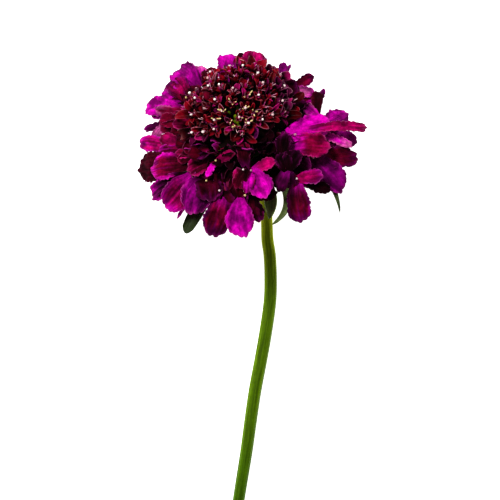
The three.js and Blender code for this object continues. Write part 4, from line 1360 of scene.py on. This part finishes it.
    def build_bristles(self) -> None:
        """Make the bristles of the calyxes that show in the gap in front of the cushion."""
        mesh, marks = begin()
        for bristle in range(self.bristle_count):
            key = self.bristle_keys + bristle
            azimuth = mix(195, 375, draw(key, 64))
            start = at(azimuth, mix(7.5, 13.5, draw(key, 65)), mix(6, 9, draw(key, 66)))
            start += Vector((-1, 1.5, 0))
            lean = math.radians(mix(10, 75, draw(key, 67)))
            way = at(azimuth + mix(-50, 50, draw(key, 68)), math.sin(lean), math.cos(lean))
            end = start + way * mix(2, 4.5, draw(key, 69))
            bend = (start + end) / 2 + AXIS * mix(-0.5, 0.8, draw(key, 70))
            thick = mix(0.08, 0.17, draw(key, 71))
            tint = linear(self.bristle_colours[int(len(self.bristle_colours) * draw(key, 72))])
            thread(mesh, marks, (start, bend, end), lambda share: thick * (1 - 0.6 * share),
                   lambda share: tint, sides=5, steps=4)
        finish_piece("calyx_bristles", mesh, Part.DISC_FLORETS, [WAXY_TISSUE])

    def build_core(self) -> None:
        """Make the dome that the florets grow from."""
        mesh, marks = begin()
        spun(mesh, self.core, steps=32, shift=self.shift)
        for vert in mesh.verts:
            marks.set(vert, linear("#120604"))
        finish_piece("disc_receptacle", mesh, Part.DISC_FLORETS, [DISC_BACK])

    def build(self) -> None:
        """Make the whole cushion."""
        places = self.places()
        self.build_core()
        self.build_tubes(places)
        self.build_corollas(places)
        self.build_styles(places)
        self.build_stamens(places)
        self.build_buds()
        self.build_bristles()


# ------------------------------------------------------------------ green parts

@dataclass(frozen=True)
class Bract:
    """A bract: azimuth of its root, bend and tip given like the petals' tips, and width.

    widest is the share of its length where it is widest, and end the share of its width that it
    still has at its tip.
    """

    azimuth: float
    bend: tuple[float, float, float]
    tip: tuple[float, float, float]
    width: float
    widest: float = 0.72
    end: float = 0.38
    light: float = 0.4              # how far its green is from dark to pale

    def outline(self, u: float) -> float:
        """Half width from root to tip, as a share of the greatest.

        Args:
            u: Share of the way from root to tip.

        Returns:
            The share.
        """
        foot = 0.45
        if u < self.widest:
            return foot + (1 - foot) * max(u, 0.0) / self.widest
        return 1 - (1 - self.end) * ((min(u, 1.0) - self.widest) / (1 - self.widest)) ** 2


@dataclass
class Involucre:
    """The green dish under the head and the slim bracts round it, the last six hidden."""

    low: float = -3.0
    bracts: tuple[Bract, ...] = (
        Bract(228, (-13.5, -14, -3), (-20, -27, -8), 4.5, 0.8, 0.8, 0.1),
        Bract(285, (8.2, -13.5, -3), (5.9, -22.6, -8), 4.0, 0.7, 0.35, 1.3),
        Bract(305, (18.4, -16.2, -3.5), (6.8, -24.4, -8), 2.6, 0.5, 0.3, 1.0),
        Bract(327, (25.5, -2, 1), (27.6, -20.8, -7), 2.4, 0.55, 0.15),
        Bract(353, (16.4, 1, 1), (27.9, -5.6, -9), 3.6),
        Bract(28, (12.8, 7.5, 1), (22.3, 5.7, -8), 4.0),
        Bract(64, (5.9, 10.8, 1), (10.7, 11.5, -7), 4.0),
        Bract(104, (-3.5, 10.5, 1), (-4.2, 11.6, -6), 4.0),
        Bract(142, (-11, 5.9, 1), (-16.6, 4.1, -7), 4.0),
        Bract(182, (-16.9, -1.7, 1), (-24.2, -8.2, -8), 3.8))
    thickness: float = 0.35

    def build_dish(self) -> None:
        """Make the receptacle's dish with its peg."""
        mesh, marks = begin()
        spun(mesh, ((0, self.low), (2.2, self.low), (4.2, self.low + 1.2), (6.5, self.low + 3.4),
                    (6.5, 2), (3, 2), (3, 5), (0, 5)), steps=40)
        for vert in mesh.verts:
            marks.set(vert, linear("#4A5E22"))
        finish_piece("receptacle", mesh, Part.INVOLUCRE, [LEAF_TISSUE])

    def build_bract(self, key: int) -> None:
        """Make one bract: a lance with a groove along its middle.

        Args:
            key: The bract's number.
        """
        bract = self.bracts[key]
        blade = Blade(
            at(bract.azimuth, 3.4, self.low + 2.6), HEAD.seen(*bract.tip), bract.width,
            bract.outline, key, bend=HEAD.seen(*bract.bend), turned_up=0.5,
            roll=14 * (draw(key, 21) - 0.5), cup=0.2, fold=0.12)
        mesh, marks = begin()
        dark, pale = linear("#1E2C0A"), linear("#6E8046")

        def place(u: float, v: float) -> Vector:
            """Give the bract's point, kept above what the flower lies on."""
            return HEAD.place(HEAD.above(blade.point(u, v), self.thickness))

        def mark(vert: BMVert, u: float, v: float) -> None:
            """Write the bract's tint, paler on its veins, and the vertex's place on it.

            Args:
                vert: The vertex.
                u: Share of the way from root to tip.
                v: Place across, -1 at one margin and 1 at the other.
            """
            vein = 0.5 + 0.5 * math.cos(2 * math.pi * v * 2)
            marks.set(vert, dark.lerp(pale, bract.light * (0.5 + 0.4 * vein * abs(v) + 0.1 * u)),
                      (v * bract.width / 2, u * blade.length, key))

        sheet(mesh, columns=12, rows=48, place=place, mark=mark)
        finish_piece(f"bract_{key:02d}", mesh, Part.INVOLUCRE, [LEAF_TISSUE],
                     thickness=self.thickness)

    def build(self) -> None:
        """Make the dish and all bracts."""
        self.build_dish()
        for key in range(len(self.bracts)):
            self.build_bract(key)


@dataclass
class Stem:
    """The cut stalk: a bent neck under the head, then a long run on the surface."""

    neck_radius: float = 1.6        # radius under the head, and from the neck on
    radius: float = 1.86
    swell: float = 0.24             # how much more its radius is in the middle
    lie: float = 1.95 * math.cos(math.radians(18))      # height of the centre line at rest
    straight: float = 8.3           # depth under the petal ring down to which it is straight
    bend_radius: float = 42.0       # radius of the neck's curve, and where along Y it ends
    touchdown: float = 14.0
    cut_slope: float = 0.35
    sides: int = 54
    steps: int = 240
    ribs: int = 9
    rib_depth: float = 0.05
    skin: float = 0.3               # thickness of the skin at the cut end
    hollow: float = 0.9             # the hollow's distance inside it
    top: float = 3.3                # depth of the stalk's upper end under the petal ring
    spline_steps: int = 24          # points of the centre line for each one of its plan
    plan: tuple[tuple[float, float], ...] = (
        (2.8, 37.8), (4.5, 31.2), (4.8, 26), (5, 21), (5.7, 16.2), (6, 9), (5.8, 1.8),
        (4.5, -7.8), (2.8, -17.5), (1, -27.1), (-0.4, -36.7), (-1.7, -46.3), (-3.4, -57),
        (-5.3, -69), (-7.2, -81))

    def height(self, y: float) -> float:
        """Give the centre line's height over a point of its plan."""
        ahead = min(max(y - self.touchdown, 0.0), self.bend_radius)
        return self.lie + self.bend_radius - math.sqrt(self.bend_radius ** 2 - ahead ** 2)

    def centre_line(self) -> list[Vector]:
        """Give the centre line as close points.

        Returns:
            The points, in millimetres, from the head to the cut end.
        """
        centre = Vector(HEAD.centre)
        knots = [centre - HEAD.axis * self.top, centre - HEAD.axis * self.straight]
        knots += [Vector((x, y, self.height(y))) for x, y in self.plan]
        knots = [knots[0] * 2 - knots[1], *knots, knots[-1] * 2 - knots[-2]]
        points: list[Vector] = []
        for a, b, c, d in zip(knots, knots[1:], knots[2:], knots[3:]):
            points += [self.spline(a, b, c, d, step / self.spline_steps)
                       for step in range(self.spline_steps)]
        points.append(knots[-2])
        return points

    @staticmethod
    def spline(a: Vector, b: Vector, c: Vector, d: Vector, share: float) -> Vector:
        """Give a point between b and c of a centripetal curve through four points.

        Args:
            a: The point before.
            b: Where the stretch starts.
            c: Where it ends.
            d: The point after.
            share: Share of the way from b to c.

        Returns:
            The point.
        """
        ab, bc, cd = (max((q - p).length ** 0.5, 1e-6) for p, q in ((a, b), (b, c), (c, d)))
        leave = ((b - a) / ab - (c - a) / (ab + bc) + (c - b) / bc) * bc
        reach = ((c - b) / bc - (d - b) / (bc + cd) + (d - c) / cd) * bc
        t2, t3 = share ** 2, share ** 3
        return b * (2 * t3 - 3 * t2 + 1) + c * (3 * t2 - 2 * t3) \
            + leave * (t3 - 2 * t2 + share) + reach * (t3 - t2)

    def build(self) -> None:
        """Make the stalk."""
        line = self.centre_line()
        lengths = [0.0]
        for a, b in zip(line, line[1:]):
            lengths.append(lengths[-1] + (b - a).length)
        total = lengths[-1]

        def swelling(share: float) -> float:
            """Give how much thicker the stalk is towards its middle."""
            return self.swell * math.sin(math.pi * share) ** 2

        def path(share: float) -> Vector:
            """Give the centre line's point, high enough for the stalk to lie on the surface.

            Args:
                share: Share of the way from the head to the cut end.

            Returns:
                The point, in metres.
            """
            goal = share * total
            index = max(next((i for i, s in enumerate(lengths) if s >= goal), len(line) - 1), 1)
            step = (goal - lengths[index - 1]) / max(lengths[index] - lengths[index - 1], 1e-9)
            point = line[index - 1].lerp(line[index], step)
            return Vector((point.x, point.y, max(point.z, self.lie + swelling(share)))) * MM

        def radius(share: float, angle: float) -> float:
            """Give the radius, with the ribs.

            Args:
                share: Share of the way from the head to the cut end.
                angle: Angle round the stalk, in radians.

            Returns:
                The radius, in metres.
            """
            rib = self.rib_depth * (math.cos(self.ribs * angle + 6 * share) - 1)
            plain = mix(self.neck_radius, self.radius, min(share * 4, 1.0))
            return (plain + swelling(share) + rib) * MM

        mesh, marks = begin()
        neck, middle, foot = linear("#B4BE00"), linear("#6A8A00"), linear("#4E7600")
        # dark green of the painted shade along the stalk's top
        top_shade_green = linear("#2A4600")

        def mark(vert: BMVert, share: float, angle: float) -> None:
            """Write the skin's tint, with painted shade along the stalk's top, and the vertex's
            place on it.

            Args:
                vert: The vertex.
                share: Share of the way from the head to the cut end.
                angle: Angle round the stalk, in radians.
            """
            skin = neck.lerp(middle, smooth(0.12, 0.4, share)).lerp(foot, smooth(0.5, 1.0, share))
            # painted shade along the stalk's top
            top_shade = smooth(0.55, 1.0, math.sin(angle)) * 0.55
            marks.set(vert, skin.lerp(top_shade_green, top_shade),
                      (angle * self.radius, share * total, 0.0))

        limb(mesh, self.sides, self.steps, path, radius, mark, reference=Vector((0, 0, 1)),
             slant=self.cut_slope)
        self.build_cut(mesh, marks)
        finish_piece("flower_stalk", mesh, Part.STEM, [STALK_SKIN, STALK_PITH])

    def build_cut(self, mesh: BMesh, marks: Marks) -> None:
        """Show the pith and its hollow in the cut end of a stalk's mesh.

        Args:
            mesh: The stalk's mesh.
            marks: Its attributes.
        """
        for inset, sink, tint in ((self.skin, 0.05, "#A8B868"), (self.hollow, 0.5, "#5E7030")):
            end = min(mesh.faces, key=lambda face: (-len(face.verts), face.calc_center_median().y))
            bmesh.ops.inset_region(mesh, faces=[end], thickness=inset * MM, depth=-sink * MM)
            end = min(mesh.faces, key=lambda face: (-len(face.verts), face.calc_center_median().y))
            end.material_index = 1
            for vert in end.verts:
                marks.set(vert, linear(tint))


# ------------------------------------------------------------------ studio

@dataclass(frozen=True)
class Lamp:
    """A soft square lamp: its place and side in metres, and its power in watts."""

    name: str
    place: tuple[float, float, float]
    side: float
    power: float


@dataclass
class Studio:
    """Pale floor, soft light and the camera, which looks straight down."""

    picture_height: float = 803.25      # camera above the floor, in millimetres
    aim: tuple[float, float] = (-0.6, 17.8125)
    lens: float = 180.0
    floor_size: float = 3000.0
    floor_drop: float = 0.1             # how far it lies under what the flower rests on
    floor_glow: float = 0.85            # strengths of the light that the floor and the air give
    air_glow: float = 0.22
    lamp_aim: tuple[float, float, float] = (0.0, 0.03, 0.01)    # in metres
    lamps: tuple[Lamp, ...] = (
        Lamp("key", (-0.45, 0.55, 0.95), side=0.25, power=10.5),
        Lamp("fill", (0.6, -0.6, 0.9), side=0.9, power=1.5))

    def build_camera(self) -> None:
        """Make the camera."""
        data = bpy.data.cameras.new("camera")
        data.lens = self.lens
        data.sensor_width = 36.0
        data.clip_start, data.clip_end = 0.01, 20.0
        camera = bpy.data.objects.new("camera", data)
        camera.location = Vector((*self.aim, self.picture_height)) * MM
        bpy.context.scene.collection.objects.link(camera)
        bpy.context.scene.camera = camera

    def build_floor(self) -> None:
        """Make the plain white floor."""
        mesh = bmesh.new()
        bmesh.ops.create_grid(mesh, x_segments=2, y_segments=2, size=self.floor_size / 2 * MM)
        for vert in mesh.verts:
            vert.co.z = -self.floor_drop * MM
        data = bpy.data.meshes.new("floor")
        mesh.to_mesh(data)
        mesh.free()
        floor = bpy.data.objects.new("floor", data)
        bpy.context.scene.collection.objects.link(floor)
        material = bpy.data.materials.new("matt_white_board")
        material.use_nodes = True
        shader = material.node_tree.nodes["Principled BSDF"]
        shader.inputs["Base Color"].default_value = (0.92, 0.92, 0.92, 1.0)
        shader.inputs["Roughness"].default_value = 0.95
        shader.inputs["Specular IOR Level"].default_value = 0.0
        shader.inputs["Emission Color"].default_value = (1.0, 1.0, 1.0, 1.0)
        shader.inputs["Emission Strength"].default_value = self.floor_glow
        data.materials.append(material)

    def build_lamp(self, lamp: Lamp) -> None:
        """Add a lamp that looks at the flower.

        Args:
            lamp: Its place, side and power.
        """
        data = bpy.data.lights.new(lamp.name, "AREA")
        data.shape = "SQUARE"
        data.size = lamp.side
        data.energy = lamp.power
        light = bpy.data.objects.new(lamp.name, data)
        light.location = lamp.place
        light.rotation_mode = "QUATERNION"
        aim = Vector(self.lamp_aim) - Vector(lamp.place)
        light.rotation_quaternion = aim.to_track_quat("-Z", "Y")
        bpy.context.scene.collection.objects.link(light)

    def build(self) -> None:
        """Make the whole studio."""
        self.build_camera()
        self.build_floor()
        for lamp in self.lamps:
            self.build_lamp(lamp)
        world = bpy.data.worlds.new("studio")
        world.use_nodes = True
        background = world.node_tree.nodes["Background"]
        background.inputs["Color"].default_value = (1.0, 1.0, 1.0, 1.0)
        background.inputs["Strength"].default_value = self.air_glow
        scene = bpy.context.scene
        scene.world = world
        scene.view_settings.view_transform = "Standard"
        scene.view_settings.look = "Medium High Contrast"


def main() -> None:
    """Build the studio and every part of the flower."""
    logging.basicConfig(level=logging.INFO, format="%(name)s: %(message)s")
    for section in (Studio(), Stem(), Involucre(), RayFlorets(), DiscFlorets()):
        section.build()
        LOG.info("%s done", type(section).__name__)


if __name__ == "__main__":
    main()
